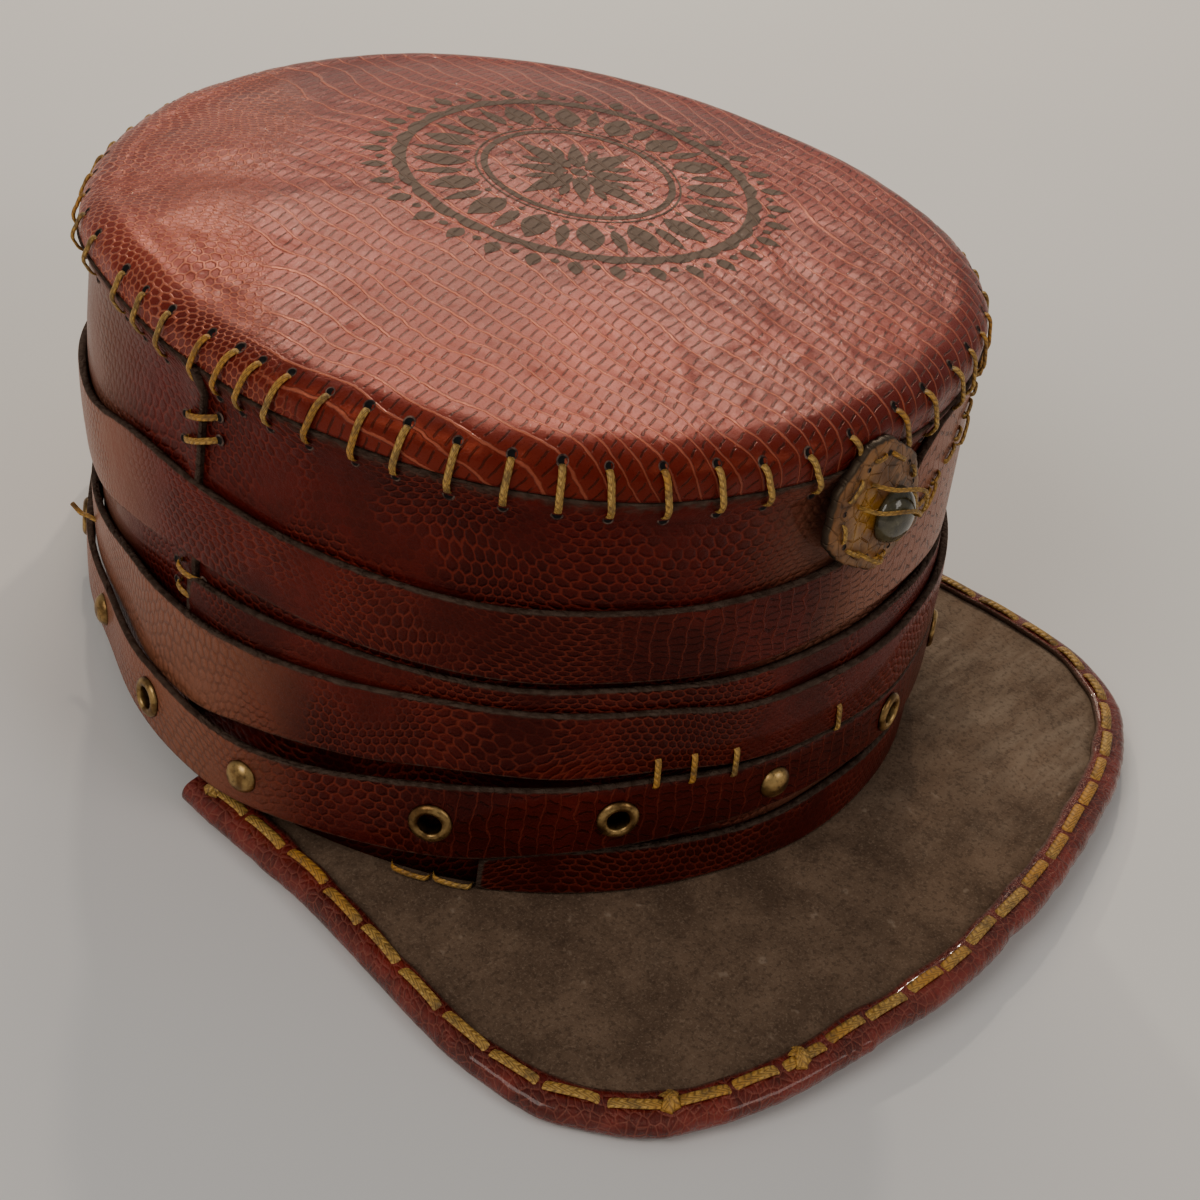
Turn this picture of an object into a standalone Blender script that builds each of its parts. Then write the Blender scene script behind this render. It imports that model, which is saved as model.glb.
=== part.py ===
"""Kepi cap of embossed leather: a drum crown laced to a domed top, five wrapped straps, a wide bound peak.

Lengths are in metres and Z is up. The wearer looks along -Y, so the wearer's right side is at -X.
Angles are in degrees round the crown from the middle of the front, growing towards the wearer's right.
Each piece is built round the same oval wall, at its own distance out from the wall's outer face.
"""

from math import cos, exp, pi, radians, sin

import bmesh
import bpy
from mathutils import Matrix, Vector

# Clearance between neighbouring pieces
GAP = 0.0003

# Oval of the crown wall at the rim
RIM_HALF_WIDTH = 0.0921
RIM_HALF_LENGTH = 0.1017
RIM_EXPONENT = 1.9
RIM_BACK_EXPONENT = 2.0
RIM_EGG = 0.12

# Oval of the crown wall at the lacing seam
SEAM_HALF_WIDTH = 0.0885
SEAM_HALF_LENGTH = 0.0957
SEAM_EXPONENT = 2.19
SEAM_BACK_EXPONENT = 2.1
SEAM_EGG = 0.054
SEAM_SHIFT_BACK = 0.0072
SEAM_HEIGHT = 0.100

# Leather thicknesses
WALL_THICKNESS = 0.0020
TOP_THICKNESS = 0.0020
STRAP_THICKNESS = 0.0018
PEAK_THICKNESS = 0.0022
BINDING_THICKNESS = 0.0010
PATCH_THICKNESS = 0.0022

# Crown top
LAP = 0.0020
SKIRT = 0.0040
SHOULDER_RISE = 0.0055
SHOULDER_INSET = 0.0085
DOME_RISE = 0.0045

# Places of the two upright seams between the wall's panels
PANEL_SEAM_ANGLE = 93.0

# Peak and its binding
PEAK_REACH = 0.0471
PEAK_CAMBER = 0.0050
PEAK_END_ANGLE = 87.0
PEAK_SLEW = 0.03
PEAK_HALF_SPAN = 0.107
BINDING_FLANGE = 0.0060

# Brass eyelets and rivets on the eyelet strap
EYELET_HOLE_RADIUS = 0.0024
EYELET_BARREL = 0.0006
EYELET_FLANGE_RADIUS = 0.0045
EYELET_FLANGE_THICKNESS = 0.0007
RIVET_HEAD_RADIUS = 0.0037
RIVET_HEAD_RISE = 0.0021
RIVET_SHANK_RADIUS = 0.0012
RIVET_SHANK_TAIL = 0.0008

# Medallion on the front of the crown
MEDALLION_ANGLE = 4.6
MEDALLION_DROP = 0.0098
MEDALLION_HALF_WIDTH = 0.0170
MEDALLION_HALF_TALL = 0.0150
STONE_RADIUS = 0.0060
STONE_RISE = 0.0038
STONE_ACROSS = -0.20
STONE_UP = -0.20

# Stations round the crown
STATIONS = 60

# Lift of the lacing seam and of the shoulder round the crown: angle, share of SEAM_HEIGHT, share of SKIRT
SEAM_LINE = (
    (0, 1.000, 1.00),
    (40, 0.993, 1.00),
    (62, 0.984, 0.95),
    (85, 0.965, 0.85),
    (101, 0.944, 0.80),
    (114, 0.948, 0.75),
    (134, 0.914, 0.75),
    (180, 0.885, 0.75),
    (240, 0.925, 0.90),
    (290, 0.965, 1.00),
    (325, 0.992, 1.00),
)

# Dents and bulges of the wall: angle, half spread in degrees, level and half height as shares of
# SEAM_HEIGHT, depth as a share of RIM_HALF_WIDTH (outward is positive)
WALL_DENTS = (
    (102, 11, 0.95, 0.40, -0.010),
    (120, 15, 0.85, 0.45, 0.010),
    (82, 13, 0.80, 0.35, 0.007),
    (150, 24, 0.55, 0.40, -0.010),
    (30, 26, 0.45, 0.50, 0.007),
    (-70, 22, 0.70, 0.40, -0.008),
    (-120, 26, 0.40, 0.50, 0.009),
    (140, 30, 0.10, 0.28, -0.020),
    (160, 28, 1.00, 0.30, -0.024),
    (135, 30, 0.62, 0.22, 0.020),
    (108, 16, 0.15, 0.30, -0.012),
)

# Swells and hollows of the crown top: angle, distance from the middle and half spread as shares of
# the top's half length, rise as a share of DOME_RISE
TOP_SWELLS = (
    (100, 0.62, 0.30, 0.20),
    (66, 0.72, 0.24, -0.14),
    (35, 0.62, 0.30, 0.20),
    (-30, 0.60, 0.30, -0.14),
    (170, 0.55, 0.30, -0.12),
    (-120, 0.60, 0.30, 0.16),
)

# Strap edges: angle, lower edge and upper edge as shares of SEAM_HEIGHT
UPPER_STRAP = (
    (0, 0.622, 0.800),
    (12, 0.612, 0.772),
    (30, 0.601, 0.759),
    (55, 0.572, 0.734),
    (75, 0.564, 0.721),
    (90, 0.540, 0.708),
    (103, 0.490, 0.690),
    (120, 0.425, 0.620),
    (150, 0.385, 0.560),
    (180, 0.375, 0.545),
    (210, 0.390, 0.560),
    (240, 0.450, 0.610),
    (270, 0.530, 0.695),
    (288, 0.570, 0.760),
    (306, 0.600, 0.880),
    (322, 0.612, 0.945),
    (346, 0.618, 0.965),
    (352, 0.620, 0.930),
)
INNER_STRAP = (
    (-92, 0.390, 0.485),
    (-60, 0.430, 0.545),
    (-30, 0.465, 0.575),
    (0, 0.470, 0.585),
    (30, 0.470, 0.583),
    (50, 0.455, 0.560),
    (66, 0.430, 0.547),
    (80, 0.400, 0.515),
    (92, 0.375, 0.487),
)
MIDDLE_STRAP = (
    (0, 0.379, 0.522),
    (20, 0.387, 0.524),
    (30, 0.398, 0.541),
    (42, 0.378, 0.530),
    (55, 0.358, 0.515),
    (68, 0.312, 0.483),
    (80, 0.266, 0.445),
    (90, 0.215, 0.418),
    (103, 0.192, 0.390),
    (123, 0.172, 0.310),
    (150, 0.166, 0.275),
    (180, 0.164, 0.268),
    (210, 0.172, 0.280),
    (240, 0.192, 0.325),
    (270, 0.238, 0.410),
    (300, 0.320, 0.490),
    (330, 0.380, 0.530),
)
EYELET_STRAP = (
    (0, 0.258, 0.377),
    (20, 0.240, 0.374),
    (30, 0.224, 0.377),
    (42, 0.192, 0.352),
    (52, 0.150, 0.324),
    (60, 0.130, 0.300),
    (74, 0.106, 0.250),
    (85, 0.080, 0.225),
    (97, 0.080, 0.215),
    (108, 0.070, 0.200),
    (120, 0.055, 0.185),
    (150, 0.040, 0.175),
    (180, 0.040, 0.170),
    (210, 0.045, 0.180),
    (240, 0.065, 0.205),
    (270, 0.095, 0.240),
    (300, 0.150, 0.305),
    (330, 0.225, 0.370),
)
LOWER_STRAP = (
    (-62, 0.00, 0.120),
    (-30, 0.00, 0.175),
    (-9, 0.00, 0.192),
    (4, 0.00, 0.202),
    (18, 0.00, 0.187),
    (30, 0.00, 0.190),
    (41, 0.00, 0.180),
    (50, 0.00, 0.140),
)

# Distance of two straps out from the wall: angle, share of one strap thickness beyond the first layer
MIDDLE_STRAP_STANDOFF = (
    (0, 1.17),
    (96, 1.17),
    (112, 0.40),
    (150, 0.40),
    (170, 1.17),
    (270, 1.17),
)
EYELET_STRAP_STANDOFF = (
    (0, 1.17),
    (55, 1.17),
    (78, 2.34),
    (98, 2.34),
    (122, 1.57),
    (147, 1.57),
    (168, 2.34),
    (282, 2.34),
    (305, 1.17),
)

# Fittings on the eyelet strap: angle, kind
FITTINGS = (
    (-6, "eyelet"),
    (15, "rivet"),
    (35, "eyelet"),
    (56, "eyelet"),
    (79, "rivet"),
    (96, "eyelet"),
    (114, "rivet"),
    (135, "eyelet"),
    (157, "eyelet"),
    (180, "rivet"),
    (203, "eyelet"),
    (225, "eyelet"),
    (246, "rivet"),
    (267, "eyelet"),
    (290, "eyelet"),
    (312, "rivet"),
    (333, "eyelet"),
)

# Overhang of the peak beyond the wall's rim: angle to either side, share of PEAK_REACH
PEAK_OVERHANG = (
    (0, 1.000),
    (16, 1.070),
    (27, 1.185),
    (35, 1.235),
    (42, 1.150),
    (48, 0.950),
    (55, 0.670),
    (62, 0.450),
    (70, 0.290),
    (80, 0.200),
    (91, 0.175),
)

# Outline of the medallion, going round: across and up as shares of its half sizes
MEDALLION_OUTLINE = (
    (0.05, 1.00),
    (-0.58, 0.55),
    (-0.74, 0.16),
    (-1.00, -0.66),
    (-0.42, -0.84),
    (0.00, -1.00),
    (0.71, -0.60),
    (1.00, -0.27),
    (0.93, 0.47),
    (0.45, 0.98),
)

# Linear colour, roughness and metallic value of each material
MATERIALS = {
    "glossy_red_leather": ((0.150, 0.018, 0.012), 0.28, 0.0),
    "maroon_leather": ((0.075, 0.010, 0.008), 0.35, 0.0),
    "brown_strap_leather": ((0.130, 0.035, 0.020), 0.38, 0.0),
    "dark_suede": ((0.035, 0.024, 0.018), 0.85, 0.0),
    "tan_leather": ((0.170, 0.075, 0.035), 0.55, 0.0),
    "aged_brass": ((0.360, 0.215, 0.070), 0.35, 1.0),
    "grey_green_glass": ((0.120, 0.130, 0.095), 0.10, 0.0),
}

# Distances out from the wall's outer face, layer by layer
FIRST_LAYER = GAP
PATCH_LAYER = GAP + TOP_THICKNESS + 2 * GAP
OUTERMOST = FIRST_LAYER + 3 * STRAP_THICKNESS + 2 * GAP
BINDING_RADIUS = PEAK_THICKNESS / 2 + GAP + BINDING_THICKNESS

# Height of the medallion's middle
MEDALLION_HEIGHT = SEAM_HEIGHT - MEDALLION_DROP

# The origin is midway between the peak's front edge and the rivet heads at the back
BACK_REACH = OUTERMOST + GAP + RIVET_HEAD_RISE
CROWN_CENTRE_Y = (PEAK_REACH - BACK_REACH) / 2


def clear_scene():
    """Remove everything that the new file starts with."""
    for item in list(bpy.data.objects):
        bpy.data.objects.remove(item, do_unlink=True)


def make_collection(name):
    """Return a new collection linked to the scene."""
    group = bpy.data.collections.new(name)
    bpy.context.scene.collection.children.link(group)
    return group


def make_material(name):
    """Return the Principled material of the given name."""
    if name in bpy.data.materials:
        return bpy.data.materials[name]
    colour, roughness, metallic = MATERIALS[name]
    material = bpy.data.materials.new(name)
    material.use_nodes = True
    shader = material.node_tree.nodes["Principled BSDF"]
    shader.inputs["Base Color"].default_value = (*colour, 1.0)
    shader.inputs["Roughness"].default_value = roughness
    shader.inputs["Metallic"].default_value = metallic
    return material


def hermite(a, b, slope_a, slope_b, step, share):
    """Smooth value between two rows of a table."""
    s2 = share * share
    s3 = s2 * share
    value = (2 * s3 - 3 * s2 + 1) * a + (3 * s2 - 2 * s3) * b
    return value + step * ((s3 - 2 * s2 + share) * slope_a + (s3 - s2) * slope_b)


def table_value(table, angle, column, closed=True):
    """Read a column of a table smoothly at an angle, going round the crown if it is closed."""
    rows = [(row[0], row[column]) for row in table]
    if closed:
        angle = angle % 360
        first = rows[0]
        rows = [(rows[-1][0] - 360, rows[-1][1])] + rows + [(first[0] + 360, first[1])]
        rows = rows + [(rows[2][0] + 360, rows[2][1])]
    angle = min(max(angle, rows[0][0]), rows[-1][0])
    index = 0
    while index < len(rows) - 2 and angle > rows[index + 1][0]:
        index += 1
    slopes = [(rows[k + 1][1] - rows[k][1]) / (rows[k + 1][0] - rows[k][0]) for k in range(len(rows) - 1)]

    def slope_at(k):
        if k == 0 or k == len(rows) - 1:
            return slopes[min(k, len(slopes) - 1)]
        before, after = slopes[k - 1], slopes[k]
        return 0.0 if before * after <= 0 else 2 * before * after / (before + after)

    left, right = rows[index], rows[index + 1]
    step = right[0] - left[0]
    return hermite(left[1], right[1], slope_at(index), slope_at(index + 1), step, (angle - left[0]) / step)


def oval(angle, half_width, half_length, front_exponent, back_exponent, egg):
    """Point of an egg-shaped oval, wider towards the front and fuller round its back."""
    across = -sin(radians(angle))
    along = -cos(radians(angle))
    exponent = front_exponent + (back_exponent - front_exponent) * max(0.0, along) ** 2
    size = (abs(across) ** exponent + abs(along) ** exponent) ** (-1 / exponent)
    y = half_length * along * size
    x = half_width * across * size * (1 - egg * y / half_length)
    return Vector((x, y, 0))


def angle_apart(a, b):
    """Signed difference of two angles."""
    return (a - b + 180) % 360 - 180


def seam_height(angle):
    """Height of the lacing seam, where the crown top's edge lies."""
    return SEAM_HEIGHT * table_value(SEAM_LINE, angle, 1)


def wall_bare(angle, height):
    """Point of the wall's outer face without its dents."""
    rim = oval(angle, RIM_HALF_WIDTH, RIM_HALF_LENGTH, RIM_EXPONENT, RIM_BACK_EXPONENT, RIM_EGG)
    seam = oval(angle, SEAM_HALF_WIDTH, SEAM_HALF_LENGTH, SEAM_EXPONENT, SEAM_BACK_EXPONENT, SEAM_EGG)
    seam.y += SEAM_SHIFT_BACK
    share = height / SEAM_HEIGHT
    point = rim.lerp(seam, share)
    point.y += CROWN_CENTRE_Y
    point.z = height
    return point


def dent_depth(angle, height):
    """Outward push of the wall's dents and bulges."""
    depth = 0.0
    for middle, spread, level, tall, share in WALL_DENTS:
        across = angle_apart(angle, middle) / spread
        up = (height / SEAM_HEIGHT - level) / tall
        depth += share * RIM_HALF_WIDTH * exp(-across * across - up * up)
    return depth


def wall_point(angle, height, out=0.0):
    """Point at a distance out from the wall's outer face, with its dents."""
    before = wall_bare(angle - 0.5, height)
    after = wall_bare(angle + 0.5, height)
    along = (after - before).normalized()
    outward = Vector((-along.y, along.x, 0))
    point = wall_bare(angle, height)
    if outward.dot(point - Vector((0, CROWN_CENTRE_Y, height))) < 0:
        outward.negate()
    return point + outward * (out + dent_depth(angle, height))


def wall_frame(angle, height, out_at):
    """Matrix on a layer over the wall: X along it, Y up it and Z straight out of it."""
    out = out_at(angle)
    place = wall_point(angle, height, out)
    before = wall_point(angle - 1, height, out_at(angle - 1))
    after = wall_point(angle + 1, height, out_at(angle + 1))
    along = (after - before).normalized()
    up = (wall_point(angle, height + 0.002, out) - wall_point(angle, height - 0.002, out)).normalized()
    away = along.cross(up).normalized()
    if away.dot(wall_point(angle, height, out + 0.01) - place) < 0:
        along.negate()
        away.negate()
    up = away.cross(along)
    frame = Matrix((along, up, away)).transposed().to_4x4()
    frame.translation = place
    return frame


def peak_middle_height(x):
    """Height of the middle of the peak's leather, highest along the hat's middle line."""
    return BINDING_RADIUS + PEAK_CAMBER * (1 - (x / PEAK_HALF_SPAN) ** 2)


def peak_edge_out(angle):
    """Overhang of the peak's outer edge beyond the wall's rim, a little deeper on the wearer's right."""
    slew = 1 + PEAK_SLEW * sin(radians(2 * angle))
    return PEAK_REACH * slew * table_value(PEAK_OVERHANG, abs(angle), 1, closed=False)


def rim_height(angle):
    """Height of the wall's lower edge: on the peak at the front and on the ground at the back."""
    off = abs(angle_apart(angle, 0))
    end = PEAK_END_ANGLE + 3
    if off >= end + 12:
        return 0.0
    seat = peak_middle_height(wall_bare(angle, 0).x) + PEAK_THICKNESS / 2 + GAP
    if off <= end:
        return seat
    share = (end + 12 - off) / 12
    return seat * share * share * (3 - 2 * share)


def middle_strap_out(angle):
    """Distance of the middle strap's inner face out from the wall."""
    layers = table_value(MIDDLE_STRAP_STANDOFF, angle, 1)
    return FIRST_LAYER + layers * STRAP_THICKNESS


def eyelet_strap_out(angle):
    """Distance of the eyelet strap's inner face out from the wall."""
    layers = table_value(EYELET_STRAP_STANDOFF, angle, 1)
    return FIRST_LAYER + layers * STRAP_THICKNESS


def finish(name, mesh_builder, material, group, smooth_angle=40):
    """Turn a bmesh into a named object with outward faces and its material."""
    bmesh.ops.recalc_face_normals(mesh_builder, faces=mesh_builder.faces)
    mesh = bpy.data.meshes.new(name)
    mesh_builder.to_mesh(mesh)
    mesh_builder.free()
    mesh.shade_smooth()
    mesh.set_sharp_from_angle(angle=radians(smooth_angle))
    item = bpy.data.objects.new(name, mesh)
    item.data.materials.append(make_material(material))
    group.objects.link(item)
    return item


def loft(name, sections, closed, material, group):
    """Body through a row of sections with the same number of points, a ring if it is closed."""
    builder = bmesh.new()
    rows = [[builder.verts.new(point) for point in section] for section in sections]
    count = len(rows[0])
    last = len(rows) if closed else len(rows) - 1
    for index in range(last):
        here = rows[index]
        there = rows[(index + 1) % len(rows)]
        for k in range(count):
            builder.faces.new((here[k], here[(k + 1) % count], there[(k + 1) % count], there[k]))
    if not closed:
        builder.faces.new(rows[0])
        builder.faces.new(reversed(rows[-1]))
    return finish(name, builder, material, group)


def turned(name, profile, sides, frame, material, group):
    """Body turned round the frame's Z axis from a profile that runs down its outer side."""
    mesh = bpy.data.meshes.new(name)
    edges = [(k, k + 1) for k in range(len(profile) - 1)]
    if profile[0][0] > 0:
        edges.append((len(profile) - 1, 0))
    mesh.from_pydata([(radius, 0, height) for radius, height in profile], edges, [])
    item = bpy.data.objects.new(name, mesh)
    item.data.materials.append(make_material(material))
    group.objects.link(item)
    screw = item.modifiers.new("turn", "SCREW")
    screw.steps = sides
    screw.render_steps = sides
    screw.use_merge_vertices = True
    screw.merge_threshold = 0.00001
    screw.use_smooth_shade = True
    item.matrix_world = frame
    return item


def stations(start, end):
    """Angles from start to end that keep the spacing of the stations round the crown."""
    step = 360 / STATIONS
    inner = [step * k for k in range(-STATIONS, 2 * STATIONS) if start + 1 < step * k < end - 1]
    return [start] + inner + [end]


def strap_section(angle, lower, upper, out):
    """Section of a strap, a little fuller along its middle."""
    middle = (lower + upper) / 2
    thick = STRAP_THICKNESS
    return (
        wall_point(angle, lower, out),
        wall_point(angle, upper, out),
        wall_point(angle, upper, out + thick * 0.85),
        wall_point(angle, middle, out + thick),
        wall_point(angle, lower, out + thick * 0.85),
    )


def closed_strap(name, table, out_at, material, group):
    """Strap that runs all the way round the crown."""
    sections = []
    for k in range(STATIONS):
        angle = 360 * k / STATIONS
        lower = SEAM_HEIGHT * table_value(table, angle, 1)
        upper = SEAM_HEIGHT * table_value(table, angle, 2)
        sections.append(strap_section(angle, lower, upper, out_at(angle)))
    return loft(name, sections, True, material, group)


def open_strap(name, table, out, on_peak, material, group):
    """Strap with two cut ends, standing on the peak where on_peak is true."""
    sections = []
    for angle in stations(table[0][0], table[-1][0]):
        lower = SEAM_HEIGHT * table_value(table, angle, 1, closed=False)
        if on_peak:
            lower += rim_height(angle)
        upper = SEAM_HEIGHT * table_value(table, angle, 2, closed=False)
        sections.append(strap_section(angle, lower, upper, out))
    return loft(name, sections, False, material, group)


def wall_panel(name, start, end, group):
    """Panel of the crown wall between two upright seams."""
    sections = []
    for angle in stations(start, end):
        bottom = rim_height(angle)
        top = seam_height(angle) + LAP
        levels = [bottom + (top - bottom) * share for share in (0, 0.35, 0.7, 1)]
        outer = [wall_point(angle, level) for level in levels]
        inner = [wall_point(angle, level, -WALL_THICKNESS) for level in reversed(levels)]
        sections.append(outer + inner)
    return loft(name, sections, False, "maroon_leather", group)


def top_swell(x, y):
    """Rise of the crown top's swells and hollows at a place measured from its middle."""
    rise = 0.0
    for angle, distance, spread, share in TOP_SWELLS:
        middle_x = -sin(radians(angle)) * distance * SEAM_HALF_LENGTH
        middle_y = -cos(radians(angle)) * distance * SEAM_HALF_LENGTH
        reach = spread * SEAM_HALF_LENGTH
        away = ((x - middle_x) ** 2 + (y - middle_y) ** 2) / (reach * reach)
        rise += share * DOME_RISE * exp(-away)
    return rise


def crown_top(group):
    """Domed top whose skirt laps over the wall, an open surface with an even thickness."""
    outside = GAP + TOP_THICKNESS
    middle = Vector((0, CROWN_CENTRE_Y + SEAM_SHIFT_BACK, 0))
    middle_height = sum(seam_height(360 * k / STATIONS) for k in range(STATIONS)) / STATIONS
    full_rise = SKIRT + SHOULDER_RISE
    rings = []
    for drop, inset in ((0.0, 0.0), (1.0, 0.0)):
        ring = []
        for k in range(STATIONS):
            angle = 360 * k / STATIONS
            height = seam_height(angle)
            skirt = SKIRT * table_value(SEAM_LINE, angle, 2)
            point = wall_point(angle, height, outside - inset)
            ring.append(Vector((point.x, point.y, height + drop * skirt)))
        rings.append(ring)
    for turn in (28, 56, 88):
        inset = SHOULDER_INSET * (1 - cos(radians(turn)))
        ring = []
        for k in range(STATIONS):
            angle = 360 * k / STATIONS
            height = seam_height(angle)
            skirt = SKIRT * table_value(SEAM_LINE, angle, 2)
            point = wall_point(angle, height, outside - inset)
            rise = skirt + SHOULDER_RISE * sin(radians(turn))
            ring.append(Vector((point.x, point.y, height + rise)))
        rings.append(ring)
    edge = rings[-1]
    for share in (0.86, 0.68, 0.48, 0.25):
        ring = []
        for point in edge:
            flat = Vector((point.x, point.y, 0)) - middle
            place = flat * share
            height = point.z * share ** 2 + (middle_height + full_rise) * (1 - share ** 2)
            height += DOME_RISE * (1 - share ** 2) + top_swell(place.x, place.y)
            ring.append(Vector((middle.x + place.x, middle.y + place.y, height)))
        rings.append(ring)
    crest = Vector((middle.x, middle.y, middle_height + full_rise + DOME_RISE + top_swell(0, 0)))
    builder = bmesh.new()
    rows = [[builder.verts.new(point) for point in ring] for ring in rings]
    for here, there in zip(rows, rows[1:]):
        for k in range(STATIONS):
            after = (k + 1) % STATIONS
            builder.faces.new((here[k], there[k], there[after], here[after]))
    tip = builder.verts.new(crest)
    for k in range(STATIONS):
        builder.faces.new((rows[-1][k], tip, rows[-1][(k + 1) % STATIONS]))
    item = finish("crown_top", builder, "glossy_red_leather", group)
    if item.data.polygons[-1].normal.z < 0:
        item.data.flip_normals()
    shell = item.modifiers.new("leather", "SOLIDIFY")
    shell.thickness = TOP_THICKNESS
    shell.offset = -1
    shell.use_even_offset = False
    return item


def peak_angles():
    """Angles of the peak's stations, closer together at its corners."""
    half = [0, 7, 14, 20, 25, 29, 33, 36, 39, 42, 45, 49, 54, 60, 67, 75, 83, PEAK_END_ANGLE]
    return [-angle for angle in reversed(half[1:])] + half


def peak_place(angle, out, above):
    """Point of the peak at a distance out from the rim and above the middle of its leather."""
    place = wall_point(angle, 0, out)
    place.z = peak_middle_height(place.x) + above
    return place


def peak(group):
    """Crescent peak that passes under the crown wall."""
    half = PEAK_THICKNESS / 2
    sections = []
    for angle in peak_angles():
        edge = peak_edge_out(angle) - BINDING_RADIUS
        outs = [-WALL_THICKNESS, edge * 0.45, edge]
        top = [peak_place(angle, out, half) for out in outs]
        bottom = [peak_place(angle, out, -half) for out in reversed(outs)]
        sections.append(top + bottom)
    return loft("peak", sections, False, "dark_suede", group)


def peak_binding(group):
    """Strip of leather folded over the peak's edge, a C in section."""
    slot = PEAK_THICKNESS / 2 + GAP
    sections = []
    for angle in peak_angles():
        edge = peak_edge_out(angle)
        centre = edge - BINDING_RADIUS + GAP
        flange = min(BINDING_FLANGE, centre - 2 * GAP)
        section = [peak_place(angle, centre - flange, BINDING_RADIUS)]
        for turn in (90, 45, 0, -45, -90):
            out = centre + (BINDING_RADIUS - GAP) * cos(radians(turn))
            section.append(peak_place(angle, out, BINDING_RADIUS * sin(radians(turn))))
        section.append(peak_place(angle, centre - flange, -BINDING_RADIUS))
        section.append(peak_place(angle, centre - flange, -slot))
        section.append(peak_place(angle, centre, -slot))
        section.append(peak_place(angle, centre, slot))
        section.append(peak_place(angle, centre - flange, slot))
        sections.append(section)
    return loft("peak_binding", sections, False, "glossy_red_leather", group)


def eyelet_strap_face(angle):
    """Distance of the eyelet strap's outer face out from the wall."""
    return eyelet_strap_out(angle) + STRAP_THICKNESS


def eyelet_strap_middle(angle):
    """Height of the eyelet strap's middle line."""
    return SEAM_HEIGHT * (table_value(EYELET_STRAP, angle, 1) + table_value(EYELET_STRAP, angle, 2)) / 2


def add_fittings(strap, group, cutters):
    """Set the eyelets and rivets through holes in the eyelet strap."""
    counts = {"eyelet": 0, "rivet": 0}
    for angle, kind in FITTINGS:
        counts[kind] += 1
        name = f"{kind}_{counts[kind]:02d}"
        frame = wall_frame(angle, eyelet_strap_middle(angle), eyelet_strap_face)
        if kind == "eyelet":
            bore = EYELET_HOLE_RADIUS
            barrel = bore + EYELET_BARREL
            flange = EYELET_FLANGE_RADIUS
            thick = EYELET_FLANGE_THICKNESS
            back = -STRAP_THICKNESS - GAP
            profile = (
                (bore, GAP + thick * 0.7),
                (barrel, GAP + thick),
                (flange, GAP + thick * 0.4),
                (flange, GAP),
                (barrel, GAP),
                (barrel, back),
                (barrel + EYELET_BARREL, back),
                (barrel + EYELET_BARREL, back - EYELET_BARREL),
                (bore, back - EYELET_BARREL),
            )
            turned(name, profile, 14, frame, "aged_brass", group)
            hole = barrel + GAP
        else:
            head = RIVET_HEAD_RADIUS
            shank = RIVET_SHANK_RADIUS
            profile = (
                (0, GAP + RIVET_HEAD_RISE),
                (head * 0.55, GAP + RIVET_HEAD_RISE * 0.82),
                (head * 0.88, GAP + RIVET_HEAD_RISE * 0.42),
                (head, GAP),
                (shank, GAP),
                (shank, -STRAP_THICKNESS - RIVET_SHANK_TAIL),
                (0, -STRAP_THICKNESS - RIVET_SHANK_TAIL),
            )
            turned(name, profile, 12, frame, "aged_brass", group)
            hole = shank + GAP
        builder = bmesh.new()
        depth = 3 * STRAP_THICKNESS
        wide = hole / cos(pi / 10)
        bmesh.ops.create_cone(builder, cap_ends=True, segments=10, radius1=wide, radius2=wide, depth=depth)
        cutter = finish(f"hole_{name}", builder, "aged_brass", cutters)
        cutter.matrix_world = frame @ Matrix.Translation((0, 0, -STRAP_THICKNESS / 2))
        cutter.hide_render = True
        cutter.display_type = "WIRE"
    holes = strap.modifiers.new("holes", "BOOLEAN")
    holes.operation = "DIFFERENCE"
    holes.operand_type = "COLLECTION"
    holes.collection = cutters
    holes.solver = "EXACT"


def medallion_place(across, up, out):
    """Point over the wall, measured across and up from the medallion's middle."""
    size = RIM_HALF_LENGTH * pi / 180
    angle = MEDALLION_ANGLE + across * MEDALLION_HALF_WIDTH / size
    return wall_point(angle, MEDALLION_HEIGHT + up * MEDALLION_HALF_TALL, out)


def medallion_patch(group):
    """Leather patch bent to the crown's front."""
    builder = bmesh.new()
    inner = PATCH_LAYER
    outer = PATCH_LAYER + PATCH_THICKNESS
    rings = []
    for share, out in ((0.5, inner), (1.0, inner), (1.0, outer), (0.5, outer)):
        ring = [medallion_place(across * share, up * share, out) for across, up in MEDALLION_OUTLINE]
        rings.append([builder.verts.new(point) for point in ring])
    count = len(MEDALLION_OUTLINE)
    for here, there in zip(rings, rings[1:]):
        for k in range(count):
            after = (k + 1) % count
            builder.faces.new((here[k], here[after], there[after], there[k]))
    for ring, out in ((rings[0], inner), (rings[-1], outer)):
        tip = builder.verts.new(medallion_place(0, 0, out))
        for k in range(count):
            builder.faces.new((ring[k], tip, ring[(k + 1) % count]))
    return finish("medallion_patch", builder, "tan_leather", group)


def medallion_stone(group):
    """Domed glass stone with a flat back, seated on the patch."""
    size = RIM_HALF_LENGTH * pi / 180
    angle = MEDALLION_ANGLE + STONE_ACROSS * MEDALLION_HALF_WIDTH / size
    height = MEDALLION_HEIGHT + STONE_UP * MEDALLION_HALF_TALL
    frame = wall_frame(angle, height, lambda place: PATCH_LAYER + PATCH_THICKNESS + GAP)
    turns = [18 * k for k in range(6)]
    profile = [(STONE_RADIUS * sin(radians(turn)), STONE_RISE * cos(radians(turn))) for turn in turns]
    profile[0] = (0, STONE_RISE)
    profile.append((0, 0))
    return turned("medallion_stone", profile, 20, frame, "grey_green_glass", group)


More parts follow.
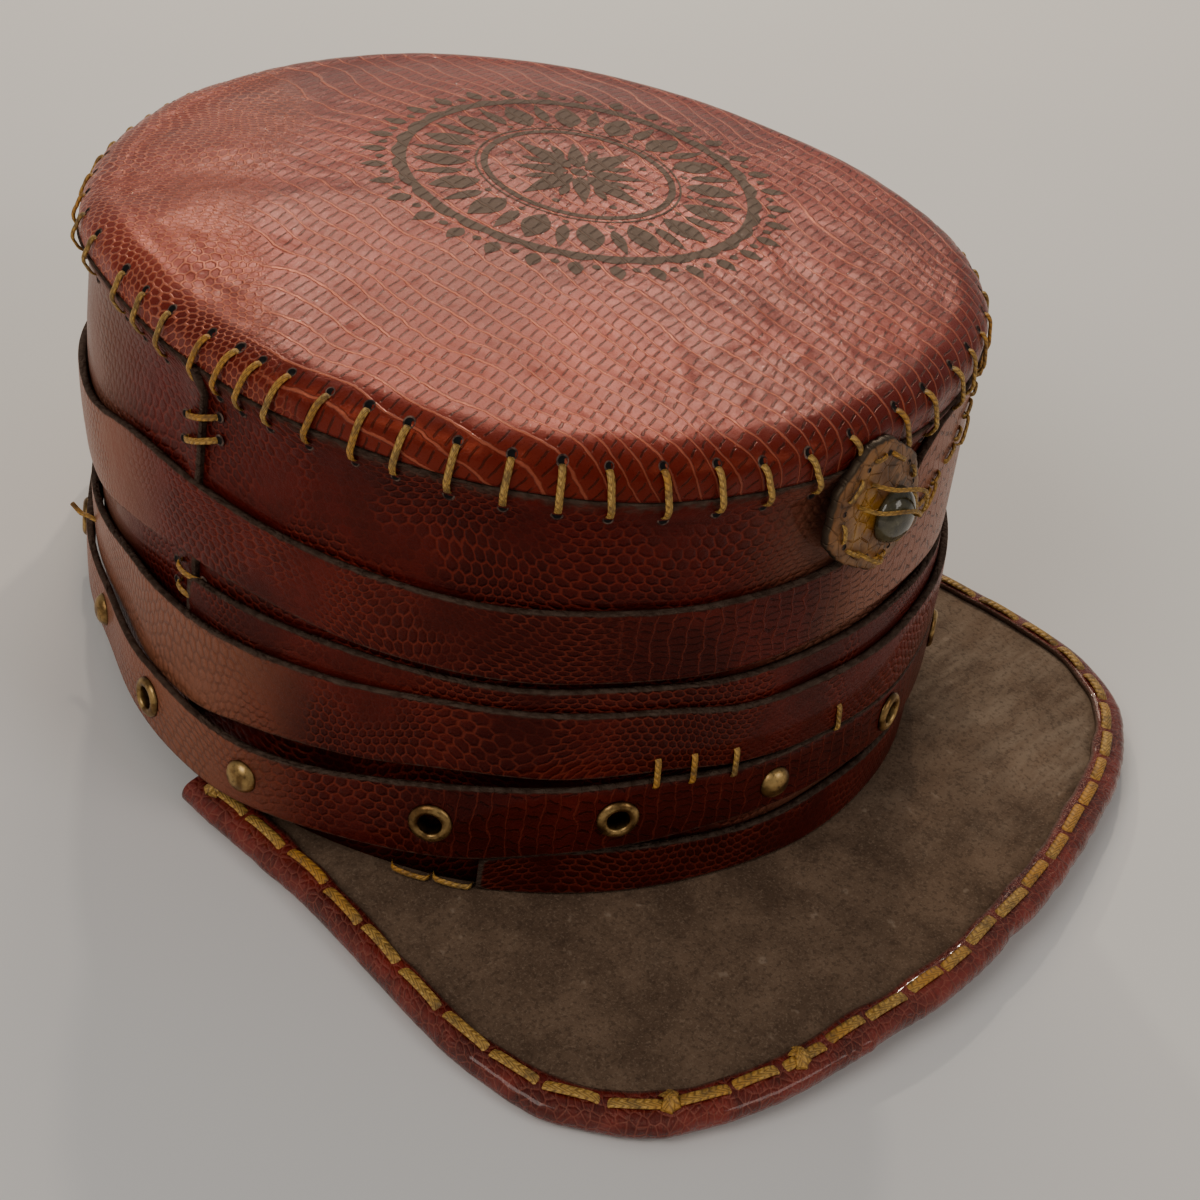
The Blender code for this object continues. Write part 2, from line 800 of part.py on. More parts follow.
def build():
    """Model the hat."""
    clear_scene()
    hat = make_collection("kepi_cap")
    cutters = make_collection("cutters")
    wall_panel("crown_wall_front", -PANEL_SEAM_ANGLE, PANEL_SEAM_ANGLE, hat)
    seam_turn = GAP / RIM_HALF_WIDTH * 180 / pi
    wall_panel("crown_wall_back", PANEL_SEAM_ANGLE + seam_turn, 360 - PANEL_SEAM_ANGLE - seam_turn, hat)
    crown_top(hat)
    closed_strap("strap_upper", UPPER_STRAP, lambda angle: FIRST_LAYER, "brown_strap_leather", hat)
    open_strap("strap_inner", INNER_STRAP, FIRST_LAYER, False, "brown_strap_leather", hat)
    closed_strap("strap_middle", MIDDLE_STRAP, middle_strap_out, "brown_strap_leather", hat)
    eyelet_strap = closed_strap("strap_eyelet", EYELET_STRAP, eyelet_strap_out, "brown_strap_leather", hat)
    open_strap("strap_lower", LOWER_STRAP, FIRST_LAYER, True, "brown_strap_leather", hat)
    add_fittings(eyelet_strap, hat, cutters)
    peak(hat)
    peak_binding(hat)
    medallion_patch(hat)
    medallion_stone(hat)


build()
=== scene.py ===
# %% [markdown]
# # A kepi cap in embossed leather
# The hat is a drum of maroon leather with a domed top laced on by hand. Five straps wrap the drum and a
# wide suede peak with a folded leather binding sticks out in front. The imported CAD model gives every
# size. This script dresses it: each CAD leather solid is replaced by a finer sheet of leather in the
# same place, with its embossing, cut edges, thread and brass.

import bmesh
import bpy
import numpy as np
from mathutils import Matrix, Vector


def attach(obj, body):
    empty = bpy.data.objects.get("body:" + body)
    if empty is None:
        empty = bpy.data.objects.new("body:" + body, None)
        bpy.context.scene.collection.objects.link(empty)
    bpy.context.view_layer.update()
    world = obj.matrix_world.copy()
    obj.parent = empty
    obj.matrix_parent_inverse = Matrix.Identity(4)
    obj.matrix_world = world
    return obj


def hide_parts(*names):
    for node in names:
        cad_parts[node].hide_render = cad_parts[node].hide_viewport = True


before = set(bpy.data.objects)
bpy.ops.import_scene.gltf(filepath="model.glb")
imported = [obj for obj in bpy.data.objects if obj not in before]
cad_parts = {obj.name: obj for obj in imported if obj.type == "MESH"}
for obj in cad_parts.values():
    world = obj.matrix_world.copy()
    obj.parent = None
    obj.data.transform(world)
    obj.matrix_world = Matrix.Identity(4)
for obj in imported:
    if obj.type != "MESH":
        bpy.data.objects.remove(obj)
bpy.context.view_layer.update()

# %% [markdown]
# ## The sizes that every piece shares
# All pieces hang on one oval wall, so the oval and the edges of each strap are written once, as the CAD
# source has them. Lengths are metres. Angles are degrees round the crown from the middle of the front,
# growing towards the wearer's right, which is at -X.

# %% Sizes of the crown
GAP = 0.0003
RIM = (0.0921, 0.1017, 1.9, 2.0, 0.12)
SEAM = (0.0885, 0.0957, 2.19, 2.1, 0.054)
SEAM_SHIFT_BACK = 0.0072
SEAM_HEIGHT = 0.100
WALL = 0.0020
TOP = 0.0020
STRAP = 0.0018
SKIRT = 0.0040
SHOULDER_RISE = 0.0055
SHOULDER_INSET = 0.0085
SHOULDER_ARC = 0.0072
SHOULDER_TURN = np.radians(88)
FLARE_TALL, FLARE_OUT = 0.0065, 0.0027
DOME_RISE = 0.0045
PANEL_SEAM = 93.0
PEAK_REACH = 0.0471
PEAK_CAMBER = 0.0050
PEAK_END = 87.0
PEAK_SLEW = 0.03
PEAK_HALF_SPAN = 0.107
PEAK_THICK = 0.0022
BINDING_FLANGE = 0.0060
BINDING_RADIUS = PEAK_THICK / 2 + GAP + 0.0010
FIRST_LAYER = GAP
SECOND_LAYER = FIRST_LAYER + STRAP + GAP
OUTERMOST = FIRST_LAYER + 3 * STRAP + 2 * GAP
CENTRE_Y = (PEAK_REACH - OUTERMOST - GAP - 0.0021) / 2
SEAM_LINE = ((0, 1.000, 1.00), (40, 0.993, 1.00), (62, 0.984, 0.95), (85, 0.965, 0.85), (101, 0.944, 0.80),
             (114, 0.948, 0.75), (134, 0.914, 0.75), (180, 0.885, 0.75), (240, 0.925, 0.90),
             (290, 0.965, 1.00), (325, 0.992, 1.00))
WALL_DENTS = ((102, 11, 0.95, 0.40, -0.010), (120, 15, 0.85, 0.45, 0.010), (82, 13, 0.80, 0.35, 0.007),
              (150, 24, 0.55, 0.40, -0.010), (30, 26, 0.45, 0.50, 0.007), (-70, 22, 0.70, 0.40, -0.008),
              (-120, 26, 0.40, 0.50, 0.009), (140, 30, 0.10, 0.28, -0.020), (160, 28, 1.00, 0.30, -0.024),
              (135, 30, 0.62, 0.22, 0.020), (108, 16, 0.15, 0.30, -0.012))
TOP_SWELLS = ((100, 0.62, 0.30, 0.20), (66, 0.72, 0.24, -0.14), (35, 0.62, 0.30, 0.20),
              (-30, 0.60, 0.30, -0.14), (170, 0.55, 0.30, -0.12), (-120, 0.60, 0.30, 0.16))
print("crown centre at y =", round(CENTRE_Y, 4))

# %% Edges of the five straps: angle, lower and upper edge as shares of the seam's height
UPPER_STRAP = ((0, 0.622, 0.800), (12, 0.612, 0.772), (30, 0.601, 0.759), (55, 0.572, 0.734),
               (75, 0.564, 0.721), (90, 0.540, 0.708), (103, 0.490, 0.690), (120, 0.425, 0.620),
               (150, 0.385, 0.560), (180, 0.375, 0.545), (210, 0.390, 0.560), (240, 0.450, 0.610),
               (270, 0.530, 0.695), (288, 0.570, 0.760), (306, 0.600, 0.880), (322, 0.612, 0.945),
               (346, 0.618, 0.965), (352, 0.620, 0.930))
INNER_STRAP = ((-92, 0.390, 0.485), (-60, 0.430, 0.545), (-30, 0.465, 0.575), (0, 0.470, 0.585),
               (30, 0.470, 0.583), (50, 0.455, 0.560), (66, 0.430, 0.547), (80, 0.400, 0.515),
               (92, 0.375, 0.487))
MIDDLE_STRAP = ((0, 0.379, 0.522), (20, 0.387, 0.524), (30, 0.398, 0.541), (42, 0.378, 0.530),
                (55, 0.358, 0.515), (68, 0.312, 0.483), (80, 0.266, 0.445), (90, 0.215, 0.418),
                (103, 0.192, 0.390), (123, 0.172, 0.310), (150, 0.166, 0.275), (180, 0.164, 0.268),
                (210, 0.172, 0.280), (240, 0.192, 0.325), (270, 0.238, 0.410), (300, 0.320, 0.490),
                (330, 0.380, 0.530))
EYELET_STRAP = ((0, 0.258, 0.377), (20, 0.240, 0.374), (30, 0.224, 0.377), (42, 0.192, 0.352),
                (52, 0.150, 0.324), (60, 0.130, 0.300), (74, 0.106, 0.250), (85, 0.080, 0.225),
                (97, 0.080, 0.215), (108, 0.070, 0.200), (120, 0.055, 0.185), (150, 0.040, 0.175),
                (180, 0.040, 0.170), (210, 0.045, 0.180), (240, 0.065, 0.205), (270, 0.095, 0.240),
                (300, 0.150, 0.305), (330, 0.225, 0.370))
LOWER_STRAP = ((-62, 0.00, 0.120), (-30, 0.00, 0.175), (-9, 0.00, 0.192), (4, 0.00, 0.202), (18, 0.00, 0.187),
               (30, 0.00, 0.190), (41, 0.00, 0.180), (50, 0.00, 0.140))
STANDOFF = ((0, 1.17), (55, 1.17), (78, 2.34), (98, 2.30), (116, 1.22), (147, 1.30), (168, 2.34), (282, 2.34),
            (305, 1.17))
MIDDLE_STANDOFF = ((0, 1.17), (96, 1.10), (110, 0.12), (148, 0.20), (170, 1.17), (270, 1.17))
PEAK_OVERHANG = ((0, 1.000), (16, 1.070), (27, 1.185), (35, 1.235), (42, 1.150), (48, 0.950), (55, 0.670),
                 (62, 0.450), (70, 0.290), (80, 0.200), (91, 0.175))

# %% [markdown]
# ## Reading the tables smoothly
# A table holds a few rows, but a leather edge has no corners. A cubic curve with gentle slopes joins the
# rows, and it never swings past them. NumPy reads a whole row of angles at once.


# %% A smooth reader for tables
def table_curve(rows, column, closed=True):
    """Function that reads a column of a table at any angles."""
    places = np.array([row[0] for row in rows], float)
    values = np.array([row[column] for row in rows], float)
    if closed:
        places = np.concatenate([places[-2:] - 360, places, places[:2] + 360])
        values = np.concatenate([values[-2:], values, values[:2]])
    slopes = np.diff(values) / np.diff(places)
    product = slopes[:-1] * slopes[1:]
    total = np.where(product > 0, slopes[:-1] + slopes[1:], 1.0)
    inner = np.where(product > 0, 2 * product / total, 0.0)
    tangents = np.concatenate([[slopes[0]], inner, [slopes[-1]]])

    def read(angle):
        angle = np.asarray(angle, float)
        if closed:
            angle = angle % 360
        angle = np.clip(angle, places[0], places[-1])
        k = np.clip(np.searchsorted(places, angle, side="right") - 1, 0, len(places) - 2)
        step = places[k + 1] - places[k]
        s = (angle - places[k]) / step
        rise = (3 * s**2 - 2 * s**3) * (values[k + 1] - values[k]) + values[k]
        return rise + step * ((s**3 - 2 * s**2 + s) * tangents[k] + (s**3 - s**2) * tangents[k + 1])

    return read


seam_share = table_curve(SEAM_LINE, 1)
skirt_share = table_curve(SEAM_LINE, 2)
standoff = table_curve(STANDOFF, 1)
middle_standoff = table_curve(MIDDLE_STANDOFF, 1)
overhang = table_curve(PEAK_OVERHANG, 1, closed=False)
print("seam height at the back:", float(SEAM_HEIGHT * seam_share(180)))


# %% A slow wander, so that no edge is drawn with a ruler
def wander(angle, seed, size):
    """Gentle seeded wave round the hat."""
    dice = np.random.default_rng(seed)
    turn = np.radians(np.asarray(angle, float))
    wave = np.zeros_like(turn)
    for count in (3, 5, 8, 13, 21, 34):
        wave += np.sin(count * turn + dice.uniform(0, 6.28)) * dice.uniform(0.4, 1.0) / count**0.5
    return wave * size / 1.5


# %% Lengths along a path
def run_along(points):
    """Distance along a path at each of its points."""
    return np.append(0, np.cumsum(np.linalg.norm(np.diff(points, axis=0), axis=1)))


# %% [markdown]
# ## The wall that everything follows
# The drum leans from an egg-shaped rim to a rounder seam. A point on it is given by its angle, its
# height and its distance out from the leather. The straps, threads and fittings all ask this one
# function where they lie, so they stay on each other when the wall bulges.


# %% The wall
def oval(angle, sizes):
    """Points of an egg-shaped oval round the crown."""
    half_width, half_length, front, back, egg = sizes
    across = -np.sin(np.radians(angle))
    along = -np.cos(np.radians(angle))
    power = front + (back - front) * np.maximum(0, along) ** 2
    size = (np.abs(across) ** power + np.abs(along) ** power) ** (-1 / power)
    y = half_length * along * size
    x = half_width * across * size * (1 - egg * y / half_length)
    return np.stack([x, y, np.zeros_like(x)], -1)


def wall_bare(angle, height):
    """Wall without its dents."""
    rim = oval(angle, RIM)
    seam = oval(angle, SEAM) + np.array([0, SEAM_SHIFT_BACK, 0])
    share = (height / SEAM_HEIGHT)[..., None]
    point = rim + (seam - rim) * share
    point[..., 1] += CENTRE_Y
    point[..., 2] = height
    return point


def dent_depth(angle, height):
    """Outward push of the wall's dents, bulges and small ripples."""
    turn = np.radians(angle)
    depth = 0.00016 * np.sin(turn * 9 + height * 70) + 0.00012 * np.sin(turn * 16 - height * 90)
    for middle, spread, level, tall, share in WALL_DENTS:
        across = ((angle - middle + 180) % 360 - 180) / spread
        up = (height / SEAM_HEIGHT - level) / tall
        depth = depth + share * RIM[0] * np.exp(-(across**2) - up**2)
    return depth


def wall_point(angle, height, out=0.0):
    """Points at a distance out from the wall's leather."""
    angle, height, out = np.broadcast_arrays(*(np.asarray(value, float) for value in (angle, height, out)))
    along = wall_bare(angle + 0.5, height) - wall_bare(angle - 0.5, height)
    outward = np.stack([-along[..., 1], along[..., 0], np.zeros_like(height)], -1)
    outward /= np.linalg.norm(outward, axis=-1, keepdims=True)
    point = wall_bare(angle, height)
    facing = np.sign(np.sum(outward * (point - np.array([0, CENTRE_Y, 0])) * np.array([1, 1, 0]), -1))
    return point + outward * (facing * (out + dent_depth(angle, height)))[..., None]


def wall_frame(angle, height, out_at):
    """Place, direction along, direction up and direction out on a layer over the wall."""
    out = out_at(angle)
    place = wall_point(angle, height, out)
    ahead, behind = (wall_point(angle + turn, height, out_at(angle + turn)) for turn in (1, -1))
    along = (ahead - behind) / np.linalg.norm(ahead - behind)
    up = wall_point(angle, height + 0.002, out) - wall_point(angle, height - 0.002, out)
    away = np.cross(along, up)
    away = away / np.linalg.norm(away)
    if away @ (wall_point(angle, height, out + 0.01) - place) < 0:
        away, along = -away, -along
    return place, along, np.cross(away, along), away


def rim_height(angle):
    """Height of the wall's lower edge, on the peak in front and on the ground behind."""
    angle = np.asarray(angle, float)
    off = np.abs((angle + 180) % 360 - 180)
    seat = peak_middle(wall_bare(angle, np.zeros_like(angle))[..., 0]) + PEAK_THICK / 2 + GAP
    share = np.clip((PEAK_END + 15 - off) / 12, 0, 1)
    return seat * share * share * (3 - 2 * share)


def peak_middle(x):
    """Height of the middle of the peak's leather."""
    return BINDING_RADIUS + PEAK_CAMBER * (1 - (x / PEAK_HALF_SPAN) ** 2)


def seam_height(angle):
    """Height of the laced seam."""
    return SEAM_HEIGHT * seam_share(angle)


def eyelet_out(angle):
    """Distance of the eyelet strap's back from the wall."""
    return FIRST_LAYER + standoff(angle) * STRAP


print("front of the wall at the rim:", wall_point(0.0, 0.0).round(4))

# %% [markdown]
# ## A sheet of leather from a grid
# A cut piece of leather is a sheet with a face, a back and raw edges. It can be built from a grid of
# points: one direction runs along the piece, the other round its section. Each corner also gets a place
# on the hide in millimetres, as a UV map, so the embossing follows the leather. Three attributes say how
# raw an edge is, where the dye has faded, which on the top means where painted shade darkens the front
# shoulder, and where the embossing changes from round scales to rows of cells.


# %% The sheet maker
def skin(name, grid, hide, material, ring=False, tube=False, raw=0.0, fade=0.0, rows_share=0.0):
    """Mesh object from a grid of points, with its hide map and its raw, fade and rows attributes."""
    rows, cols = grid.shape[:2]
    far_row, far_col = rows if ring else rows - 1, cols if tube else cols - 1
    i, j = (index.ravel() for index in np.meshgrid(np.arange(far_row), np.arange(far_col), indexing="ij"))
    i2, j2 = (i + 1) % rows, (j + 1) % cols
    quads = np.stack([i * cols + j, i * cols + j2, i2 * cols + j2, i2 * cols + j], 1)
    faces = quads.tolist()
    spots = np.stack([hide[i, j], hide[i, j + 1], hide[i + 1, j + 1], hide[i + 1, j]], 1).reshape(-1, 2)
    if tube and not ring:
        faces += [list(range(cols)), list(range((rows - 1) * cols, rows * cols))[::-1]]
        spots = np.concatenate([spots, hide[0, :cols], hide[-1, :cols][::-1]])
    mesh = bpy.data.meshes.new(name)
    mesh.from_pydata(grid.reshape(-1, 3).tolist(), [], faces)
    mesh.uv_layers.new(name="hide").data.foreach_set("uv", spots.astype(np.float32).ravel())
    for label, values in (("raw", raw), ("fade", fade), ("rows", rows_share)):
        values = np.broadcast_to(values, (rows, cols)).astype(np.float32).ravel()
        mesh.attributes.new(label, "FLOAT", "POINT").data.foreach_set("value", values)
    builder = bmesh.new()
    builder.from_mesh(mesh)
    bmesh.ops.remove_doubles(builder, verts=builder.verts, dist=1e-7)
    bmesh.ops.recalc_face_normals(builder, faces=builder.faces)
    builder.to_mesh(mesh)
    builder.free()
    mesh.shade_smooth()
    mesh.materials.append(material)
    item = bpy.data.objects.new(name, mesh)
    bpy.context.scene.collection.objects.link(item)
    print(f"{name}: {len(mesh.polygons)} faces")
    return item


def hide_grid(along, across):
    """Places on the hide in millimetres, from lengths along and across in metres."""
    return np.stack(np.meshgrid(np.asarray(along) * 1000, np.asarray(across) * 1000, indexing="ij"), -1)


# %% [markdown]
# ## Nodes without the clutter
# A material is a small program drawn as nodes. The helper below adds nodes, links whatever is passed in,
# and returns the output, so that a material reads like a few lines of arithmetic.


# %% A small material writer
class Recipe:
    """Node tree of one material."""

    def __init__(self, name):
        self.material = bpy.data.materials.new(name)
        self.material.use_nodes = True
        self.tree = self.material.node_tree
        self.shader = self.tree.nodes["Principled BSDF"]

    def feed(self, socket, value):
        """Link an output, or set a plain value."""
        if isinstance(value, bpy.types.NodeSocket):
            self.tree.links.new(value, socket)
        elif socket.type == "RGBA":
            socket.default_value = (*value, 1.0)
        else:
            socket.default_value = value

    def node(self, kind, inputs=(), out=0, **settings):
        """Add a node and return one of its outputs."""
        item = self.tree.nodes.new(f"ShaderNode{kind}")
        for key, value in settings.items():
            setattr(item, key, value)
        for key, value in dict(inputs).items():
            self.feed(item.inputs[key], value)
        return item.outputs[out]

    def math(self, operation, a, b=0.0, c=0.0):
        return self.node("Math", {0: a, 1: b, 2: c}, operation=operation)

    def times(self, a, b):
        return self.math("MULTIPLY", a, b)

    def plus(self, a, b):
        return self.math("ADD", a, b)

    def minus(self, a, b):
        return self.math("SUBTRACT", a, b)

    def vector(self, operation, a, b=(0.0, 0.0, 0.0), c=(0.0, 0.0, 0.0)):
        return self.node("VectorMath", {0: a, 1: b, 2: c}, operation=operation)

    def part(self, vector, axis):
        """X, Y or Z of a vector, by its number."""
        return self.node("SeparateXYZ", {0: vector}, out=axis)

    def step(self, value, low, high):
        """Smooth step from 0 at low to 1 at high."""
        inputs = {0: value, 1: low, 2: high, 3: 0.0, 4: 1.0}
        return self.node("MapRange", inputs, interpolation_type="SMOOTHSTEP")

    def mix(self, share, a, b):
        """Blend of two colours."""
        return self.node("Mix", {0: share, 6: a, 7: b}, out=2, data_type="RGBA")

    def noise(self, vector, scale, detail=3.0, rough=0.55, dims="3D"):
        inputs = {"Vector": vector, "Scale": scale, "Detail": detail, "Roughness": rough}
        return self.node("TexNoise", inputs, noise_dimensions=dims)

    def cells(self, vector, scale, feature, jitter=1.0, out=0, dims="2D"):
        inputs = {"Vector": vector, "Scale": scale, "Randomness": jitter}
        return self.node("TexVoronoi", inputs, out=out, feature=feature, voronoi_dimensions=dims)

    def spot(self):
        """Place in the piece's own coordinates, in metres."""
        return self.node("TexCoord", out="Object")

    def hide(self):
        """Place on the hide in millimetres."""
        return self.node("UVMap", uv_map="hide")

    def fact(self, name):
        """Attribute that the mesh carries."""
        return self.node("Attribute", out=2, attribute_name=name)

    def bump(self, height, distance, strength=1.0, under=None):
        inputs = {"Height": height, "Distance": distance, "Strength": strength}
        if under is not None:
            inputs["Normal"] = under
        return self.node("Bump", inputs)

    def scales(self, hide, size):
        """Honeycomb of pressed scales: distance in from the edge of a scale, and a number for each scale."""
        spot = hide
        for scale, reach in ((0.028, 16.0), (0.35, 0.75)):
            inputs = {"Vector": hide, "Scale": scale, "Detail": 1.0}
            drift = self.node("TexNoise", inputs, out=1, noise_dimensions="2D")
            spot = self.vector("MULTIPLY_ADD", drift, (reach, reach, 0.0), spot)
        spot = self.vector("MULTIPLY", spot, (1 / size, 1.3 / size, 0.0))
        side = 3**0.5 / 2
        half, pitch = (0.5, side, 0.0), (1.0, 2 * side, 1.0)
        first = self.vector("SUBTRACT", self.vector("WRAP", spot, pitch), half)
        second = self.vector("WRAP", self.vector("SUBTRACT", spot, half), pitch)
        second = self.vector("SUBTRACT", second, half)
        reach = [self.node("VectorMath", {0: v}, out=1, operation="LENGTH") for v in (first, second)]
        near = self.math("LESS_THAN", reach[0], reach[1])
        inside = self.node("Mix", {0: near, 4: second, 5: first}, out=1, data_type="VECTOR")
        size_xy = self.vector("ABSOLUTE", inside)
        x, y = (self.part(size_xy, axis) for axis in (0, 1))
        slant = self.plus(self.times(x, 0.5), self.times(y, side))
        centre = self.vector("SUBTRACT", spot, inside)
        centre = self.vector("MULTIPLY_ADD", centre, (2.0, 1 / side, 0.0), (0.5, 0.5, 0.5))
        number = self.node("TexWhiteNoise", {"Vector": self.vector("FLOOR", centre)}, noise_dimensions="2D")
        return self.minus(0.5, self.math("MAXIMUM", x, slant)), number

    def rows(self, along, across, pitch, dash, slant):
        """Rows of cells: the line between, the dark dash, its swell and the distance from the middle."""
        row = self.math("DIVIDE", across, pitch)
        inside = self.math("ABSOLUTE", self.minus(self.math("FRACT", row), 0.5))
        shift = self.node("TexWhiteNoise", {"W": self.math("FLOOR", row)}, noise_dimensions="1D")
        lean = self.times(self.math("FRACT", row), slant)
        cell = self.math("DIVIDE", self.plus(along, lean), dash)
        slot = self.math("FRACT", self.plus(cell, shift))
        slot = self.math("ABSOLUTE", self.minus(slot, 0.5))
        cut = self.minus(1.0, self.step(inside, 0.27, 0.37))
        cut = self.times(self.step(slot, 0.385, 0.45), cut)
        return self.step(inside, 0.42, 0.472), cut, self.step(slot, 0.30, 0.5), inside

    def finish(self, **sockets):
        """Set the shader's sockets and return the material."""
        for key, value in sockets.items():
            self.feed(self.shader.inputs[key.replace("_", " ")], value)
        return self.material


# %% [markdown]
# ## Embossed scale leather
# Calf leather is pressed with a plate to look like reptile skin. On the drum and straps the plate leaves
# round scales: dark and glossy in the middle, with a paler worn outline. A honeycomb draws such scales:
# the hide map is wrapped into two staggered sets of boxes, and the nearer middle wins. A Voronoi texture
# would be shorter, but its cells look like cracks and not like a pressed plate. The dye is deep red in
# front and worn to brown and tan at the back and right. A cut edge shows the undyed, grey-brown inside.


# %% Round-scale leather
CUT_EDGE = (0.080, 0.058, 0.044)
FIBRE = (500.0, 500.0, 1600.0)


def scale_leather(name, deep, bright, outline, worn, size):
    """Glossy embossed leather with round scales or rows, faded areas and raw cut edges."""
    r = Recipe(name)
    place = r.spot()
    hide = r.hide()
    inside, number = r.scales(hide, size)
    along, across = (r.part(hide, axis) for axis in (0, 1))
    sway = r.times(r.minus(r.noise(hide, 0.16, 2.0, dims="2D"), 0.5), 3.0)
    ridge, cut, swell_side, _ = r.rows(r.plus(across, sway), r.plus(along, sway), 3.4, 1.9, 0.5)
    tone = r.noise(place, 38.0, 3.0)
    patch = r.noise(place, 14.0, 2.0)
    grain = r.noise(hide, 2.2, 3.0, 0.6, dims="2D")
    flat = r.step(r.noise(hide, 0.045, 2.0, dims="2D"), 0.44, 0.64)
    depth = r.minus(1.0, r.times(flat, 0.85))
    web = r.times(r.minus(1.0, r.step(inside, 0.02, 0.13)), depth)
    body = r.mix(r.step(tone, 0.35, 0.68), deep, bright)
    body = r.mix(r.times(number, 0.40), body, deep)
    fade = r.plus(r.fact("fade"), r.times(r.minus(patch, 0.5), 0.5))
    fade = r.step(fade, 0.15, 0.85)
    body = r.mix(r.times(fade, 0.9), body, worn)
    line = r.mix(fade, outline, tuple(c * 0.42 for c in worn))
    lines = r.node("Mix", {0: r.fact("rows"), 2: web, 3: r.times(ridge, 0.7)}, data_type="FLOAT")
    body = r.mix(r.times(lines, 0.62), body, line)
    cuts = r.times(cut, r.fact("rows"))
    body = r.mix(r.times(cuts, 0.65), body, tuple(c * 0.3 for c in deep))
    rub = r.step(r.plus(r.fact("raw"), r.times(r.minus(r.noise(place, 420.0), 0.5), 0.5)), 0.30, 0.62)
    fibre = r.noise(r.vector("MULTIPLY", place, FIBRE), 1.0, 3.0)
    bare = r.mix(r.step(fibre, 0.3, 0.72), tuple(c * 0.40 for c in CUT_EDGE), CUT_EDGE)
    colour = r.mix(rub, body, bare)
    round_top = r.times(r.step(inside, 0.0, 0.30), depth)
    pressed = r.minus(r.plus(r.times(ridge, 0.6), r.times(swell_side, 0.3)), cut)
    height = r.node("Mix", {0: r.fact("rows"), 2: round_top, 3: pressed}, data_type="FLOAT")
    height = r.plus(height, r.times(grain, 0.6))
    slow = r.bump(r.noise(place, 110.0, 2.0), 0.0012, 0.6)
    normal = r.bump(height, 0.00030, 1.0, slow)
    normal = r.bump(r.times(fibre, rub), 0.0004, 0.8, normal)
    shine = r.plus(0.34, r.times(r.minus(grain, 0.45), 0.25))
    shine = r.plus(shine, r.times(rub, 0.42))
    sheen = r.times(r.minus(1.0, rub), r.minus(0.30, r.times(fade, 0.20)))
    coat = r.times(r.minus(1.0, rub), 0.14)
    return r.finish(Base_Color=colour, Roughness=shine, Normal=normal, Metallic=sheen,
                    Specular_IOR_Level=0.30, Specular_Tint=(1.0, 0.34, 0.20),
                    Coat_Weight=coat, Coat_Roughness=0.07, Coat_IOR=1.4)


wall_leather = scale_leather("maroon_scale_leather", (0.034, 0.0016, 0.0011), (0.096, 0.0046, 0.0028),
                             (0.190, 0.022, 0.011), (0.180, 0.066, 0.038), 2.6)
strap_leather = scale_leather("strap_scale_leather", (0.040, 0.0022, 0.0014), (0.110, 0.0085, 0.0050),
                              (0.200, 0.030, 0.015), (0.270, 0.100, 0.054), 2.4)
print("leathers:", wall_leather.name, strap_leather.name)

# %% [markdown]
# ## Crown walls
# Two panels of leather meet in upright seams at the sides. At the top the wall turns outwards, so its
# raw edge faces up beside the top's skirt and the lacing passes over it. The back panel laps over the
# front one. Each panel is one grid: up its outer face, over the raw edge and down the inner face.


# %% Wall panels
def flare(angle, height):
    """Outward turn of the wall beneath the laced seam."""
    share = np.clip((height - seam_height(angle) + FLARE_TALL) / FLARE_TALL, 0, 1)
    return FLARE_OUT * share**2 * (3 - 2 * share)


def wall_panel(name, start, end, lap):
    """Panel of the drum between two upright seams, with its ends standing out by the lap."""
    angles = np.linspace(start, end, int(abs(end - start) / 1.2))
    top = seam_height(angles) - 0.0002 + wander(angles, 3, 0.0002)
    bottom = rim_height(angles)
    away = np.minimum(np.abs(angles - start), np.abs(angles - end))
    proud = lap * np.exp(-((away / 3.2) ** 2))
    shares = np.linspace(0, 1, 17)
    levels = bottom[:, None] + (top - bottom)[:, None] * shares[None]
    a = np.broadcast_to(angles[:, None], levels.shape)
    out = flare(a, levels) + proud[:, None]
    outer = wall_point(a, levels, out)
    edge = np.stack([wall_point(angles, top + up, out[:, -1] - inside)
                     for up, inside in ((0.00012, 0.0004), (0.00015, 0.001), (0.0001, 0.0017))], 1)
    inner = wall_point(a, levels, out - WALL)[:, ::-1]
    grid = np.concatenate([outer, edge, inner], 1)
    raw = np.concatenate([np.zeros(16), [0.55], np.ones(3), np.full(17, 0.95)])
    raw = np.maximum(raw[None], np.where(away < 0.01, 1.0, np.where(away < 1.0, 0.5, 0.0))[:, None])
    along = np.append(run_along(outer[:, 8]), 0)
    round_it = np.concatenate([shares * 0.096, 0.096 + np.array([0.0006, 0.0011, 0.0017]),
                               0.099 + shares * 0.096, [0.2]])
    fade = np.clip((np.abs((angles + 180) % 360 - 180) - 96) / 20, 0, 1) * 0.75
    fade = np.maximum(fade, np.exp(-(((angles - 7) / 16) ** 2)) * 0.85)
    return skin(name, grid, hide_grid(along, round_it), wall_leather, tube=True, raw=raw, fade=fade[:, None])


LAP, LAP_OUT = 1.7, 0.0013
wall_front = wall_panel("crown_front_panel", -PANEL_SEAM, PANEL_SEAM, 0.0)
wall_back = wall_panel("crown_back_panel", PANEL_SEAM - LAP, 360 - PANEL_SEAM + LAP, LAP_OUT)

# %% [markdown]
# ## Straps
# Each strap is a band about 2 mm thick, cut by hand. What makes it look like leather is its section: the
# face is a little crowned, the corners are rounded by wear, and the flat cut edge is raw. The edges
# wander by a few tenths of a millimetre, because a knife was guided by hand.


